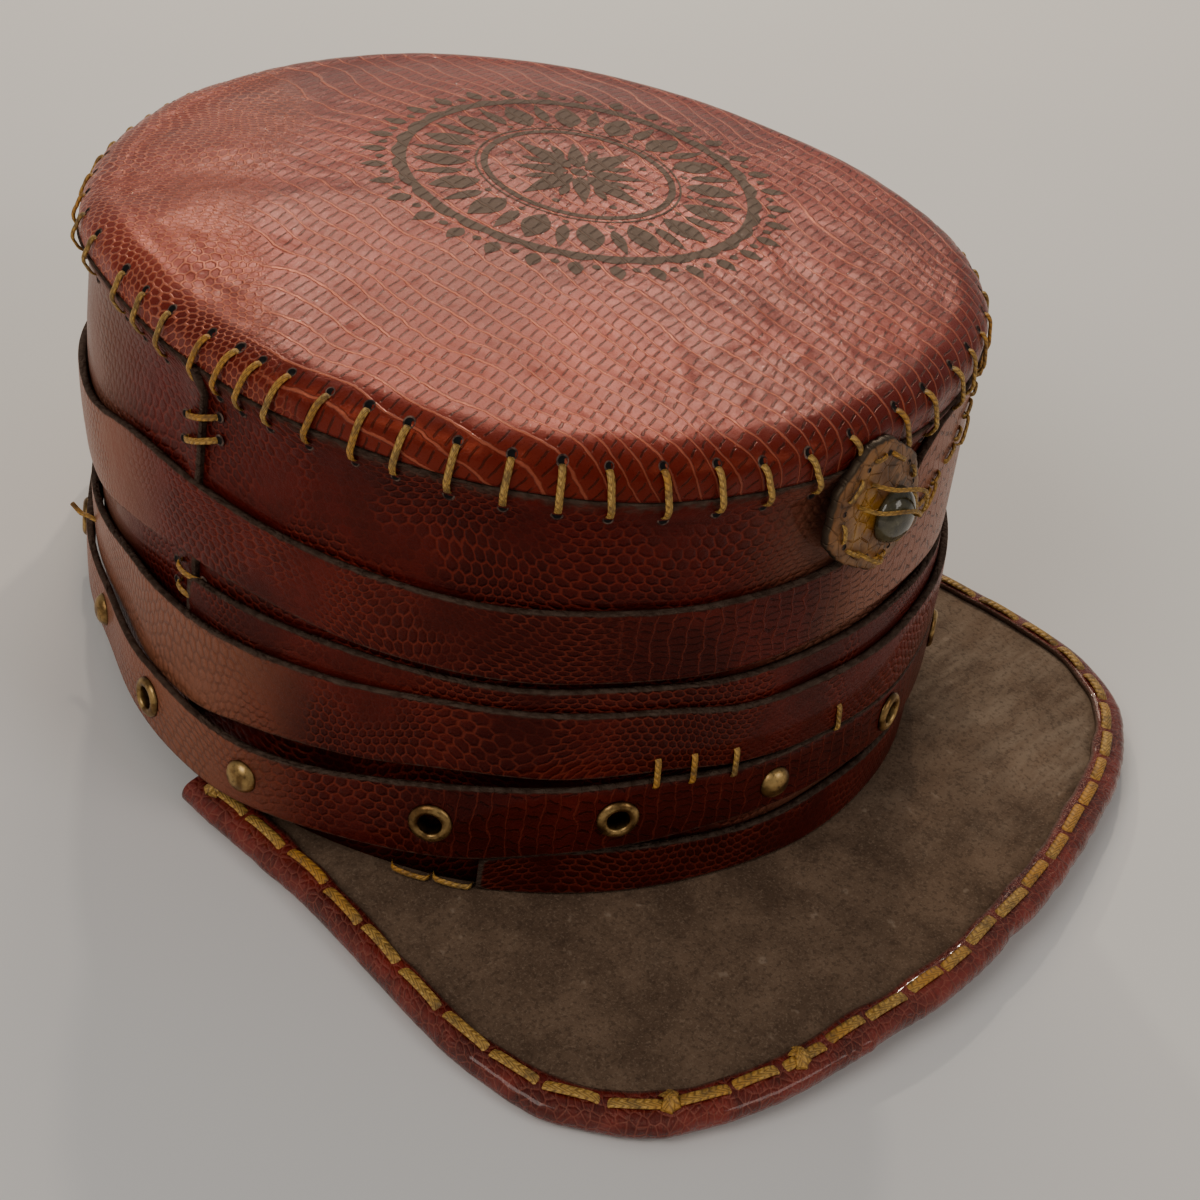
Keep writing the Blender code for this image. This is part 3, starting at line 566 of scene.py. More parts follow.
# %% The strap maker
# A point of the section: share of the width, lift, share of the thickness, how raw the leather is there.
STRAP_SECTION = ((0.25, 0.0, 0, 0.9), (0.75, 0.0, 0, 0.9), (1.0, -0.00015, 0.12, 1), (1.0, 0.0, 0.5, 1),
                 (1.0, -0.0001, 0.84, 1), (1.0, -0.00035, 0.97, 0.5), (1.0, -0.0010, 1.0, 0.16),
                 (0.82, 0, 1.03, 0), (0.66, 0, 1.07, 0), (0.5, 0, 1.08, 0), (0.34, 0, 1.07, 0),
                 (0.18, 0, 1.03, 0), (0.0, 0.0010, 1.0, 0.16), (0.0, 0.00035, 0.97, 0.5),
                 (0.0, 0.0001, 0.84, 1), (0.0, 0.0, 0.5, 1), (0.0, 0.00015, 0.12, 1))


def strap_sections(lower, upper, out, angles):
    """Grid of strap sections, the raw amount of each row, and the distance round the section."""
    grid = np.stack([wall_point(angles, lower + (upper - lower) * across + lift, out + STRAP * layer)
                     for across, lift, layer, _ in STRAP_SECTION], 1)
    raw = np.array([row[3] for row in STRAP_SECTION])
    middle = grid[len(angles) // 2]
    return grid, raw, run_along(np.concatenate([middle, middle[:1]]))


def strap(name, table, out_at, seed, fade_at, closed=True, on_peak=False, rows_to=-180):
    """Strap round the hat from its table of edges."""
    low, high = table_curve(table, 1, closed), table_curve(table, 2, closed)
    if closed:
        angles = 180.0 + np.arange(300) * 1.2
    else:
        angles = np.linspace(table[0][0], table[-1][0], int((table[-1][0] - table[0][0]) / 1.2))
    lower = SEAM_HEIGHT * low(angles) + wander(angles, seed, 0.00025)
    if on_peak:
        lower = SEAM_HEIGHT * low(angles) + rim_height(angles)
    upper = SEAM_HEIGHT * high(angles) + wander(angles, seed + 1, 0.00025)
    grid, raw, across = strap_sections(lower, upper, out_at(angles), angles)
    along = np.append(run_along(grid[:, 9]), 0)
    along[-1] = along[-2] * 2 - along[-3]
    raw = np.broadcast_to(raw, grid.shape[:2]).copy()
    if not closed:
        raw[[0, -1]] = 1.0
    fade = fade_at(angles)[:, None]
    hide = hide_grid(along, across) + seed * 37.0
    turn = (angles + 180) % 360 - 180
    pressed = np.clip((rows_to - turn) / 8, 0, 1)[:, None]
    return skin(name, grid, hide, strap_leather, ring=closed, tube=True, raw=raw, fade=fade,
                rows_share=pressed)


def tan_front(angle):
    """Tan in front and to the left of it, brown at the back, deep red between."""
    turn = (angle + 180) % 360 - 180
    front = 1 / (1 + np.exp((turn - 8) / 6.0)) * (turn > -100)
    back = np.clip((np.abs(turn) - 88) / 24, 0, 1) * 0.8
    return np.maximum(front, back)


def tan_back(angle):
    """Tan at the back and sides, deep red in front."""
    turn = (angle + 180) % 360 - 180
    return np.clip((np.abs(turn) - 62) / 30, 0, 1) * 0.95


def unworn(angle):
    """No fading at all."""
    return 0 * angle


def on_wall(angle):
    """Distance out of a strap that lies on the wall."""
    return FIRST_LAYER + 0 * angle


def middle_out(angle):
    """Distance of the middle strap's back from the wall."""
    return FIRST_LAYER + STRAP * middle_standoff(angle)


strap_upper = strap("strap_upper_leather", UPPER_STRAP, on_wall, 11, tan_front, rows_to=42)
strap_inner = strap("strap_inner_leather", INNER_STRAP, on_wall, 21, unworn, closed=False)
strap_middle = strap("strap_middle_leather", MIDDLE_STRAP, middle_out, 31, tan_back)
strap_eyelet = strap("strap_eyelet_leather", EYELET_STRAP, eyelet_out, 41, tan_back, rows_to=60)
strap_lower = strap("strap_lower_leather", LOWER_STRAP, on_wall, 51, unworn, closed=False, on_peak=True)

# %% [markdown]
# ## The domed top
# The top is wetted, pulled over a block and turned down at its edge. Its surface is a ring of skirt, a
# rounded shoulder and a shallow dome with a few soft swells. Each lacing hole pulls a small pucker into
# the shoulder. The hide map is the flat leather before it was bent, so the embossed rows run down over
# the shoulder without stretching.

# %% Lacing holes, by their angle round the crown
LACING = [-13.2, -5.1, 1.6, 10.7, 17.5, 23.8, 29.5, 35.8, 41.8, 46.8, 52.2, 58.1, 63.8, 68.8, 73.7, 79.1,
          83.2, 86.8, 91.7, 99.2, 104.5, 109.3, 117.9]
LAST_STITCH, STITCH_GAP = 338, (5.4, 7.0)
dice = np.random.default_rng(5)
while LACING[-1] < LAST_STITCH:
    LACING.append(LACING[-1] + dice.uniform(*STITCH_GAP))
LACING = np.array(LACING)
REACH_AT = ((0, 8.6), (6, 8.3), (20, 6.4), (35, 7.6), (50, 7.2), (80, 8.8), (95, 7.3), (112, 5.7),
            (180, 6.4), (300, 7.2), (345, 8.3))
upper_hole = table_curve(REACH_AT, 1)
LOWER_HOLE = -0.0038
print("lacing stitches:", len(LACING))


# %% Surface of the top
SEAM_DEGREE = 0.00162
PUCKER_WIDE, PUCKER_TALL, PUCKER_DEEP = 0.0021, 0.0030, 0.00055


def pucker(angle, reach):
    """Depth of the puckers that the lacing pulls."""
    gap = (angle[..., None] - LACING + 180) % 360 - 180
    near = gap * SEAM_DEGREE
    level = (reach - upper_hole(angle) / 1000) / PUCKER_TALL
    depth = np.exp(-((near / PUCKER_WIDE) ** 2) - level[..., None] ** 2).sum(-1)
    return PUCKER_DEEP * depth


def shoulder_point(angle, reach):
    """Point of the top's outer face at a distance up from its lower edge, on the skirt or the shoulder."""
    angle, reach = np.broadcast_arrays(np.asarray(angle, float), np.asarray(reach, float))
    skirt = SKIRT * skirt_share(angle)
    height = seam_height(angle)
    turn = np.clip((reach - skirt) / SHOULDER_ARC, 0, SHOULDER_TURN)
    inset = SHOULDER_INSET * (1 - np.cos(turn)) + pucker(angle, reach)
    point = wall_point(angle, height, GAP + TOP - inset)
    point[..., 2] = height + np.minimum(reach, skirt) + SHOULDER_RISE * np.sin(turn)
    return point


def swell(x, y):
    """Soft swells and hollows of the dome."""
    rise = np.zeros_like(x)
    for angle, distance, spread, share in TOP_SWELLS:
        mid_x = -np.sin(np.radians(angle)) * distance * SEAM[1]
        mid_y = -np.cos(np.radians(angle)) * distance * SEAM[1]
        rise += share * DOME_RISE * np.exp(-((x - mid_x) ** 2 + (y - mid_y) ** 2) / (spread * SEAM[1]) ** 2)
    return rise


ring_angles = np.arange(0, 360, 1.0)
edge_ring = shoulder_point(ring_angles, SHOULDER_ARC * SHOULDER_TURN + SKIRT * skirt_share(ring_angles))
TOP_MIDDLE = np.array([0, CENTRE_Y + SEAM_SHIFT_BACK])
MIDDLE_HEIGHT = seam_height(np.arange(60) * 6.0).mean() + SKIRT + SHOULDER_RISE
edge_flat = edge_ring[:, :2] - TOP_MIDDLE
edge_turn = np.arctan2(edge_flat[:, 1], edge_flat[:, 0])
order = np.argsort(edge_turn)


def dome_height(x, y):
    """Height of the dome over a place on the ground, measured from the top's middle."""
    turn = np.arctan2(y, x)
    reach = np.interp(turn, edge_turn[order], np.linalg.norm(edge_flat, axis=1)[order], period=2 * np.pi)
    rim = np.interp(turn, edge_turn[order], edge_ring[order, 2], period=2 * np.pi)
    share = np.clip(np.hypot(x, y) / reach, 0, 1)
    height = rim * share**2 + (MIDDLE_HEIGHT + DOME_RISE) * (1 - share**2)
    return height + swell(x, y) * (1 - share**8)


def hide_place(x, y):
    """Place on the top's hide in millimetres: along the embossed rows, and across them."""
    x, y = x * 1000, (y + SEAM_SHIFT_BACK) * 1000
    return np.stack([-y * 1.02 - 0.1 * x, (x - 0.15 * y) / (1 + 0.0022 * y)], -1)


print("middle of the dome:", round(float(MIDDLE_HEIGHT + DOME_RISE), 4))

# %% [markdown]
# ## Leather of the top
# The top has another plate: long rows of narrow cells, parted by pale raised lines and cut across by
# short dark dashes, like the belly of a lizard. Near the back on the wearer's right the rows give way to
# a net of small scales. Rows and dashes are plain arithmetic on the hide map: the fraction of a
# coordinate gives the place inside a row, and a noise bends the rows a little. The lacquer is thick and
# glossy, with fine cracks that sparkle.


# %% Row-embossed leather
def row_leather(name, print_ink=None):
    """Glossy leather with rows of cells, or the same leather under dull ink."""
    r = Recipe(name)
    hide = r.hide()
    place = r.spot()
    warp = r.minus(r.noise(hide, 0.020, 2.0, dims="2D"), 0.5)
    fine = r.minus(r.noise(hide, 0.30, 2.0, dims="2D"), 0.5)
    along = r.part(hide, 0)
    across = r.part(hide, 1)
    bent = r.plus(across, r.times(warp, 17.0))
    bent = r.plus(bent, r.times(fine, 0.8))
    ridge, dash, spread, inside = r.rows(r.plus(along, r.times(fine, 0.5)), bent, 5.1, 2.6, 1.6)
    link = r.times(r.step(spread, 0.7, 1.0), 0.14)
    net, _ = r.scales(hide, 2.2)
    web = r.minus(1.0, r.step(net, 0.04, 0.16))
    zone = r.plus(r.times(along, -0.020), r.times(across, -0.026))
    zone = r.step(r.plus(zone, r.times(warp, 0.8)), 1.85, 2.25)
    lines = r.node("Mix", {0: zone, 2: r.math("MAXIMUM", ridge, link), 3: web}, data_type="FLOAT")
    cuts = r.times(dash, r.minus(1.0, zone))
    tone = r.noise(place, 26.0, 4.0)
    body = r.mix(r.step(tone, 0.32, 0.70), (0.130, 0.0090, 0.0055), (0.245, 0.029, 0.016))
    blot = r.step(r.noise(place, 60.0, 3.0), 0.5, 0.75)
    body = r.mix(r.times(blot, 0.5), body, (0.085, 0.006, 0.003))
    # Painted shade: the top's front shoulder is painted darker, and its pale lines dimmer, where this
    # attribute marks it.
    body = r.mix(r.times(r.fact("fade"), 0.9), body, (0.085, 0.0036, 0.0020))
    pale = r.times(lines, r.minus(0.85, r.times(r.fact("fade"), 0.55)))
    body = r.mix(pale, body, (0.52, 0.150, 0.080))
    body = r.mix(r.times(cuts, 0.85), body, (0.022, 0.0035, 0.002))
    crack = r.cells(hide, 1.9, "DISTANCE_TO_EDGE", 1.0)
    grain = r.noise(hide, 1.9, 3.0, 0.6, dims="2D")
    if print_ink:
        wear = r.step(r.noise(hide, 0.55, 5.0, 0.7, dims="2D"), 0.50, 0.78)
        ink = r.mix(r.step(tone, 0.3, 0.7), print_ink, tuple(c * 1.35 for c in print_ink))
        ink = r.mix(r.times(r.math("MAXIMUM", cuts, r.times(wear, 0.35)), 0.75), ink,
                    tuple(c * 0.45 for c in print_ink))
        body = r.mix(r.times(lines, 0.22), ink, (0.20, 0.11, 0.075))
    rub = r.step(r.fact("raw"), 0.25, 0.8)
    fibre = r.noise(r.vector("MULTIPLY", place, FIBRE), 1.0, 3.0)
    colour = r.mix(rub, body, r.mix(fibre, (0.030, 0.020, 0.015), (0.105, 0.075, 0.055)))
    height = r.plus(r.times(lines, 1.1), r.times(cuts, -0.8))
    height = r.plus(height, r.times(spread, 0.06))
    height = r.plus(height, r.times(r.minus(1.0, inside), 0.6))
    crackle = r.plus(r.times(grain, 0.7), r.times(r.step(crack, 0.0, 0.14), 0.2))
    slow = r.bump(r.noise(place, 55.0, 3.0), 0.0022, 0.7)
    normal = r.bump(r.plus(height, r.times(crackle, 0.3)), 0.00016, 1.0, slow)
    coat_normal = r.bump(r.plus(height, r.times(crackle, 1.5)), 0.00011, 1.0, slow)
    shine = r.plus(0.50 if print_ink else 0.30, r.times(r.minus(grain, 0.5), 0.2))
    shine = r.plus(shine, r.times(rub, 0.4))
    dull = r.minus(1.0, r.times(r.fact("fade"), 0.75))
    dull = r.times(dull, r.minus(1.0, rub))
    sheen = r.times(dull, 0.05 if print_ink else 0.16)
    coat = r.times(dull, 0.03 if print_ink else 0.20)
    return r.finish(Base_Color=colour, Roughness=shine, Normal=normal, Metallic=sheen,
                    Specular_IOR_Level=0.20 if print_ink else 0.46, Specular_Tint=(1.0, 0.20, 0.07),
                    Coat_Weight=coat, Coat_Roughness=0.055, Coat_Normal=coat_normal)


top_leather = row_leather("lacquered_row_leather")
print("nodes in the top's leather:", len(top_leather.node_tree.nodes))

# %% The domed top's mesh
angles = np.arange(0, 360, 1.0)
skirt = SKIRT * skirt_share(angles)
over_shoulder = skirt[0] + np.linspace(0, 0.0110, 16)[1:]
reaches = np.concatenate([[0.0003, 0.0010, 0.0018, 0.0026, 0.0033], over_shoulder])
outer = []
for reach in reaches:
    span = np.where(reach <= 0.0034, reach / SKIRT * skirt, skirt + (reach - SKIRT))
    outer.append(shoulder_point(angles, span))
shares = np.linspace(0.985, 0.0, 52)
for share in shares:
    flat = edge_flat * share
    outer.append(np.column_stack([flat + TOP_MIDDLE, dome_height(flat[:, 0], flat[:, 1])]))
outer = np.stack(outer, 1)
steps = np.linalg.norm(np.diff(outer, axis=1), axis=2)
count = len(reaches)
flat_reach = np.linalg.norm(outer[:, :, :2] - TOP_MIDDLE, axis=2)
down = np.cumsum(steps[:, :count][:, ::-1], axis=1)[:, ::-1]
flat_reach[:, :count] = flat_reach[:, [count]] + down
ways = edge_flat / np.linalg.norm(edge_flat, axis=1)[:, None]
hide = hide_place(ways[:, None, 0] * flat_reach, ways[:, None, 1] * flat_reach)
lower_edge = [wall_point(angles, seam_height(angles) + up, GAP + TOP - inside)
              for up, inside in ((-0.0001, 0.0005), (-0.00015, 0.0011), (0.0, 0.0018))]
inside_face = outer.copy()
inside_face[:, :, 2] -= np.linspace(0.0, TOP, outer.shape[1])[None] ** 0.25 * TOP ** 0.75
inside_face[:, :count, :2] -= ways[:, None] * TOP
inside_face[:, count:, :2] -= ways[:, None] * (TOP * shares[None, :, None] ** 6)
grid = np.concatenate([outer[:, ::-1], np.stack(lower_edge, 1), inside_face], 1)
hide = np.concatenate([hide[:, ::-1], np.repeat(hide[:, :1], 3, 1), hide], 1)
hide = np.concatenate([hide, hide[:1]])
raw = np.concatenate([np.zeros(outer.shape[1] - 1), [0.4], np.ones(3), np.full(outer.shape[1], 0.9)])
# The front of the shoulder, darkest towards the seam, is marked for painted shade.
drop = np.concatenate([np.zeros(len(shares)), np.linspace(0, 1, count), np.ones(3), np.zeros(outer.shape[1])])
front = np.clip(1.2 - np.abs((angles - 22 + 180) % 360 - 180) / 80, 0, 1)
crown_top = skin("crown_top_leather", grid, hide, top_leather, ring=True, raw=raw,
                 fade=np.clip(drop * 1.8, 0, 1)[None] * front[:, None])

# %% [markdown]
# ## A printed rosette on the dome
# A dull olive-grey print covers the middle of the top. Here it is a plain compass star in rings of
# lozenges, rays and dots. Ink has almost no thickness, so each shape is a thin film laid seven
# hundredths of a millimetre over the leather. It shares the hide map and the embossing, so the rows show
# through the ink.

# %% Shapes of the print
INK_LIFT = 0.00007
PRINT_MIDDLE = np.array([0.016, 0.0015])
print_leather = row_leather("printed_leather", (0.062, 0.052, 0.038))
film_points, film_faces = [], []


def film(rows):
    """Add a grid of flat places to the print, draped over the dome."""
    rows = np.asarray(rows)
    place = rows + PRINT_MIDDLE
    high = dome_height(place[..., 0], place[..., 1]) + INK_LIFT
    start = sum(len(block) for block in film_points)
    film_points.append(np.concatenate([(place + TOP_MIDDLE).reshape(-1, 2), high.reshape(-1, 1)], 1))
    n, m = rows.shape[:2]
    for i in range(n - 1):
        for j in range(m - 1):
            a = start + i * m + j
            film_faces.append((a, a + 1, a + m + 1, a + m))


def ray(turn, start, end, wide, power=1.0, bend=0.0):
    """Tongue, lozenge or ray that points outwards from the middle."""
    t = np.linspace(0, 1, 9)
    half = wide / 2 * np.sin(np.pi * t**power)
    reach = start + (end - start) * t
    heading = np.radians(turn + bend * t)
    out = np.stack([np.cos(heading), np.sin(heading)], -1)
    side = np.stack([-out[:, 1], out[:, 0]], -1)
    film(np.stack([out * reach[:, None] + side * (half * k)[:, None] for k in (-1, 0, 1)], 1))


def band(start, end, scallop=0, depth=0.0):
    """Ring round the middle, with a scalloped outer edge if asked."""
    turns = np.linspace(0, 2 * np.pi, 145)
    far = end + depth * np.abs(np.sin(turns * scallop / 2)) if scallop else end + 0 * turns
    rings = (start + 0 * turns, (start + far) / 2, far)
    rows = [np.stack([np.cos(turns) * reach, np.sin(turns) * reach], -1) for reach in rings]
    film(np.stack(rows, 1))


def dot(turn, reach, size):
    """Round dot."""
    t = np.linspace(0, 2 * np.pi, 13)
    centre = reach * np.array([np.cos(np.radians(turn)), np.sin(np.radians(turn))])
    ring = np.stack([np.cos(t), np.sin(t)], -1)
    film(np.stack([centre + ring * size, centre + ring * size * 0.02], 1))


# %% Lay out the rosette
for k in range(8):
    ray(45 * k, 0.0022, 0.0185 if k % 2 == 0 else 0.0150, 0.0052 if k % 2 == 0 else 0.0040, 0.62)
    ray(45 * k + 22.5, 0.0070, 0.0135, 0.0022)
    dot(45 * k + 22.5, 0.0162, 0.0009)
dot(0, 0.0, 0.0019)
band(0.0200, 0.0216)
band(0.0224, 0.0229)
for k in range(16):
    ray(22.5 * k, 0.0238, 0.0362, 0.0062, 0.9)
    ray(22.5 * k + 11.25, 0.0262, 0.0370, 0.0030, 0.7)
    dot(22.5 * k + 11.25, 0.0248, 0.0008)
band(0.0376, 0.0398, 32, 0.0012)
for k in range(32):
    ray(11.25 * k + 5.6, 0.0418, 0.0478, 0.0034, 0.8)
    dot(11.25 * k, 0.0432, 0.0010)
film_grid = np.concatenate(film_points)
ink_mesh = bpy.data.meshes.new("printed_rosette")
ink_mesh.from_pydata(film_grid.tolist(), [], film_faces)
flat = film_grid[:, :2] - TOP_MIDDLE
spots = hide_place(flat[:, 0], flat[:, 1])[np.array([loop.vertex_index for loop in ink_mesh.loops])]
ink_mesh.uv_layers.new(name="hide").data.foreach_set("uv", spots.astype(np.float32).ravel())
builder = bmesh.new()
builder.from_mesh(ink_mesh)
bmesh.ops.remove_doubles(builder, verts=builder.verts, dist=1e-6)
for face in builder.faces:
    if face.normal.z < 0:
        face.normal_flip()
builder.to_mesh(ink_mesh)
builder.free()
ink_mesh.shade_smooth()
ink_mesh.materials.append(print_leather)
printed = bpy.data.objects.new("printed_rosette", ink_mesh)
bpy.context.scene.collection.objects.link(printed)
print("print faces:", len(ink_mesh.polygons))

# %% [markdown]
# ## The suede peak
# The peak is a stiff crescent, flesh side up: rough, dark brown and dusty, with scuffs and a few pale
# scars. Its sheet passes under the drum. The roughness is layered noise from coarse blotches to fine
# nap.


# %% Suede
def peak_suede():
    r = Recipe("dark_suede_nap")
    place = r.spot()
    blotch = r.noise(place, 22.0, 4.0, 0.6)
    patch = r.noise(place, 60.0, 5.0, 0.65)
    nap = r.noise(place, 900.0, 3.0, 0.7)
    streak = r.noise(r.vector("MULTIPLY", place, (60.0, 260.0, 60.0)), 1.0, 4.0)
    side = r.part(place, 0)
    dust = r.times(r.step(side, -0.01, 0.08), 0.64)
    dust = r.plus(dust, r.times(r.minus(blotch, 0.45), 1.8))
    dust = r.step(dust, 0.05, 0.95)
    base = r.mix(r.step(patch, 0.30, 0.72), (0.082, 0.049, 0.030), (0.180, 0.115, 0.073))
    base = r.mix(r.times(dust, r.step(streak, 0.30, 0.75)), base, (0.250, 0.185, 0.130))
    scar = r.step(r.noise(place, 240.0, 2.0, 0.5), 0.68, 0.76)
    base = r.mix(r.times(scar, 0.4), base, (0.34, 0.26, 0.19))
    speck = r.noise(place, 1700.0, 3.0, 0.7)
    base = r.mix(r.times(r.step(speck, 0.50, 0.70), 0.45), base, (0.270, 0.190, 0.130))
    base = r.mix(r.times(r.step(nap, 0.50, 0.36), 0.45), base, (0.040, 0.023, 0.014))
    rub = r.times(r.fact("raw"), 0.6)
    base = r.mix(rub, base, (0.040, 0.026, 0.018))
    normal = r.bump(patch, 0.0009, 0.6)
    normal = r.bump(nap, 0.0003, 0.8, normal)
    rough = r.minus(0.95, r.times(dust, 0.12))
    return r.finish(Base_Color=base, Roughness=rough, Normal=normal, Specular_IOR_Level=0.22)


def peak_place(angle, out, above):
    """Points of the peak at a distance out from the rim and above the middle of its leather."""
    point = wall_point(angle, 0.0 * np.asarray(angle), out)
    point[..., 2] = peak_middle(point[..., 0]) + above
    return point


def peak_edge(angle):
    """Overhang of the peak's outer edge."""
    return PEAK_REACH * (1 + PEAK_SLEW * np.sin(np.radians(2 * angle))) * overhang(np.abs(angle))


peak_angles = np.linspace(-PEAK_END, PEAK_END, 183)
shares = np.linspace(0, 1, 16)
reach = peak_edge(peak_angles) - BINDING_RADIUS
outs = -WALL + (reach + WALL)[:, None] * shares[None]
a = np.broadcast_to(peak_angles[:, None], outs.shape)
ripple = 0.00018 * np.sin(a / 7.0 + outs * 160) + 0.00012 * np.sin(a / 3.3 - outs * 260)
upper = peak_place(a, outs, PEAK_THICK / 2)
upper[..., 2] += ripple * np.minimum(shares, 1 - shares)[None] * 3
under = peak_place(a, outs, -PEAK_THICK / 2)[:, ::-1]
grid = np.concatenate([upper, under], 1)
spread = np.append(run_along(upper[:, -1]), 0)
suede = skin("peak_suede", grid, hide_grid(spread, np.append(np.append(shares, 1 + shares) * 0.05, 0.11)),
             peak_suede(), tube=True, raw=np.append(np.zeros(16), np.full(16, 0.6)))

# %% [markdown]
# ## The peak's binding
# A strip of thin glossy red leather is folded over the peak's edge and sewn through. Going round a curve
# it crinkles, so its round edge is pushed in and out by many small seeded waves.


# %% Binding leather
def binding_leather():
    r = Recipe("crinkled_red_leather")
    hide = r.hide()
    place = r.spot()
    tone = r.noise(place, 120.0, 4.0)
    crease = r.noise(r.vector("MULTIPLY", hide, (0.9, 0.18, 1.0)), 1.0, 5.0, 0.62, dims="2D")
    cell = r.cells(hide, 0.52, "DISTANCE_TO_EDGE", 0.9)
    body = r.mix(r.step(tone, 0.3, 0.7), (0.075, 0.0045, 0.0035), (0.210, 0.020, 0.013))
    gap = r.minus(1.0, r.step(cell, 0.0, 0.12))
    body = r.mix(r.times(gap, 0.5), body, (0.30, 0.080, 0.050))
    body = r.mix(r.times(r.step(crease, 0.55, 0.72), 0.5), body, (0.030, 0.004, 0.004))
    rub = r.step(r.plus(r.fact("raw"), r.times(r.minus(tone, 0.5), 0.6)), 0.35, 0.75)
    body = r.mix(rub, body, (0.105, 0.060, 0.040))
    normal = r.bump(crease, 0.0011, 0.8)
    normal = r.bump(r.step(cell, 0.0, 0.3), 0.0002, 0.8, normal)
    rough = r.plus(0.26, r.times(rub, 0.4))
    return r.finish(Base_Color=body, Roughness=rough, Normal=normal, Specular_Tint=(1.0, 0.6, 0.45),
                    Coat_Weight=0.45, Coat_Roughness=0.07)


edge = peak_edge(peak_angles)
BINDING_STEPS = 900
run = run_along(peak_place(peak_angles, edge, 0.0))
fine_angles = np.interp(np.linspace(0, 1, BINDING_STEPS), run / run[-1], peak_angles)
edge = peak_edge(fine_angles)
dice = np.random.default_rng(12)
pleat = np.convolve(dice.normal(0, 1, len(fine_angles) + 8), np.hanning(9), "valid") / 2.2
ruffle = np.convolve(dice.normal(0, 1, len(fine_angles) + 30), np.hanning(31), "valid") / 3.9
slot = PEAK_THICK / 2 + GAP
centre = edge - BINDING_RADIUS + GAP
flange = np.minimum(BINDING_FLANGE, centre - 2 * GAP) * (1 + 0.05 * ruffle)
section = []
for share in (0.0, 0.02, 0.3, 0.6, 0.9):
    lift = 0.00025 * np.sin(np.pi * share) + 0.00006 * pleat * share - (0.0004 if share == 0 else 0)
    section.append(peak_place(fine_angles, centre - flange * (1 - share), BINDING_RADIUS + lift))
for turn in (75, 50, 25, 0, -25, -50, -75):
    wave = (0.00011 * pleat + 0.00016 * ruffle) * np.cos(np.radians(turn)) - 0.0002
    wide = BINDING_RADIUS + wave
    tall = (BINDING_RADIUS - 0.0001) * np.sin(np.radians(turn))
    section.append(peak_place(fine_angles, centre + (wide - GAP) * np.cos(np.radians(turn)), tall))
for share in (0.9, 0.5, 0.0):
    section.append(peak_place(fine_angles, centre - flange * (1 - share), -BINDING_RADIUS + 0.0001))
for share, side in ((0.0, -1), (1.0, -1), (1.0, 1), (0.0, 1)):
    section.append(peak_place(fine_angles, centre - flange * (1 - share), side * slot))
grid = np.stack(section, 1)
spread = np.append(run_along(grid[:, 8]), 0)
across = run_along(np.concatenate([grid[BINDING_STEPS // 2], grid[BINDING_STEPS // 2][:1]]))
raw = np.concatenate([[1.0, 0.7], np.zeros(12), [0.6], np.full(4, 1.0)])
binding = skin("peak_binding_leather", grid, hide_grid(spread, across), binding_leather(), tube=True, raw=raw)

# %% [markdown]
# ## Waxed thread
# Every seam is sewn with flat waxed thread, ochre where it is new and brown where wax and dirt collect,
# with painted shade darkening the grooves between its two plies.
# One Geometry Nodes tree makes them all: it takes bare paths, turns them into curves, lays a flattened
# section along them with its flat side on the leather, and stores the length along the thread for its
# two-ply stripes.


# %% Thread material
def thread_wax():
    r = Recipe("ochre_waxed_thread")
    strand = r.node("UVMap", uv_map="strand")
    place = r.spot()
    along = r.part(strand, 0)
    round_it = r.part(strand, 1)
    twist = r.math("SINE", r.plus(r.times(along, 4.2), r.times(round_it, 12.566)))
    fibre = r.noise(r.vector("MULTIPLY", strand, (1.1, 14.0, 1.0)), 1.0, 3.0, dims="2D")
    dirt = r.step(r.noise(place, 300.0, 3.0), 0.46, 0.70)
    body = r.mix(r.step(fibre, 0.3, 0.7), (0.34, 0.175, 0.030), (0.70, 0.430, 0.110))
    body = r.mix(r.step(r.noise(place, 45.0, 2.0), 0.46, 0.64), body, (0.56, 0.265, 0.036))
    # Painted shade: the grooves between the two plies are painted dark brown.
    body = r.mix(r.times(r.step(twist, -0.2, -0.95), 0.55), body, (0.085, 0.042, 0.014))
    body = r.mix(r.times(dirt, 0.6), body, (0.075, 0.045, 0.022))
    normal = r.bump(r.plus(r.times(twist, 0.5), fibre), 0.00016, 0.9)
    return r.finish(Base_Color=body, Roughness=0.5, Normal=normal, Specular_IOR_Level=0.4)


thread_material = thread_wax()
print("thread:", thread_material.name)


# %% The thread tree
def tree_with(name, sockets):
    """Geometry Nodes tree with named inputs."""
    tree = bpy.data.node_groups.new(name, "GeometryNodeTree")
    for label, kind in sockets:
        tree.interface.new_socket(label, in_out="INPUT", socket_type=f"NodeSocket{kind}")
    tree.interface.new_socket("Geometry", in_out="OUTPUT", socket_type="NodeSocketGeometry")
    return tree, tree.nodes.new("NodeGroupInput"), tree.nodes.new("NodeGroupOutput")


def add(tree, kind, inputs=(), **settings):
    """Add a geometry node with its links and values."""
    item = tree.nodes.new(kind)
    for key, value in settings.items():
        setattr(item, key, value)
    for key, value in dict(inputs).items():
        if isinstance(value, bpy.types.NodeSocket):
            tree.links.new(value, item.inputs[key])
        else:
            item.inputs[key].default_value = value
    return item


def named(tree, name, kind="FLOAT"):
    """Output that reads a named attribute."""
    return add(tree, "GeometryNodeInputNamedAttribute", {"Name": name}, data_type=kind).outputs["Attribute"]


def store(tree, item, name, value, **settings):
    """Store a value on the geometry under a name."""
    inputs = {"Geometry": item.outputs[0], "Name": name, "Value": value}
    return add(tree, "GeometryNodeStoreNamedAttribute", inputs, **settings)


def end_tree(tree, item, given, result):
    """Make the instances real, set the material and close the tree."""
    real = add(tree, "GeometryNodeRealizeInstances", {"Geometry": item.outputs[0]})
    painted = add(tree, "GeometryNodeSetMaterial", {"Geometry": real.outputs[0],
                                                    "Material": given.outputs["Material"]})
    tree.links.new(painted.outputs[0], result.inputs[0])
    return tree


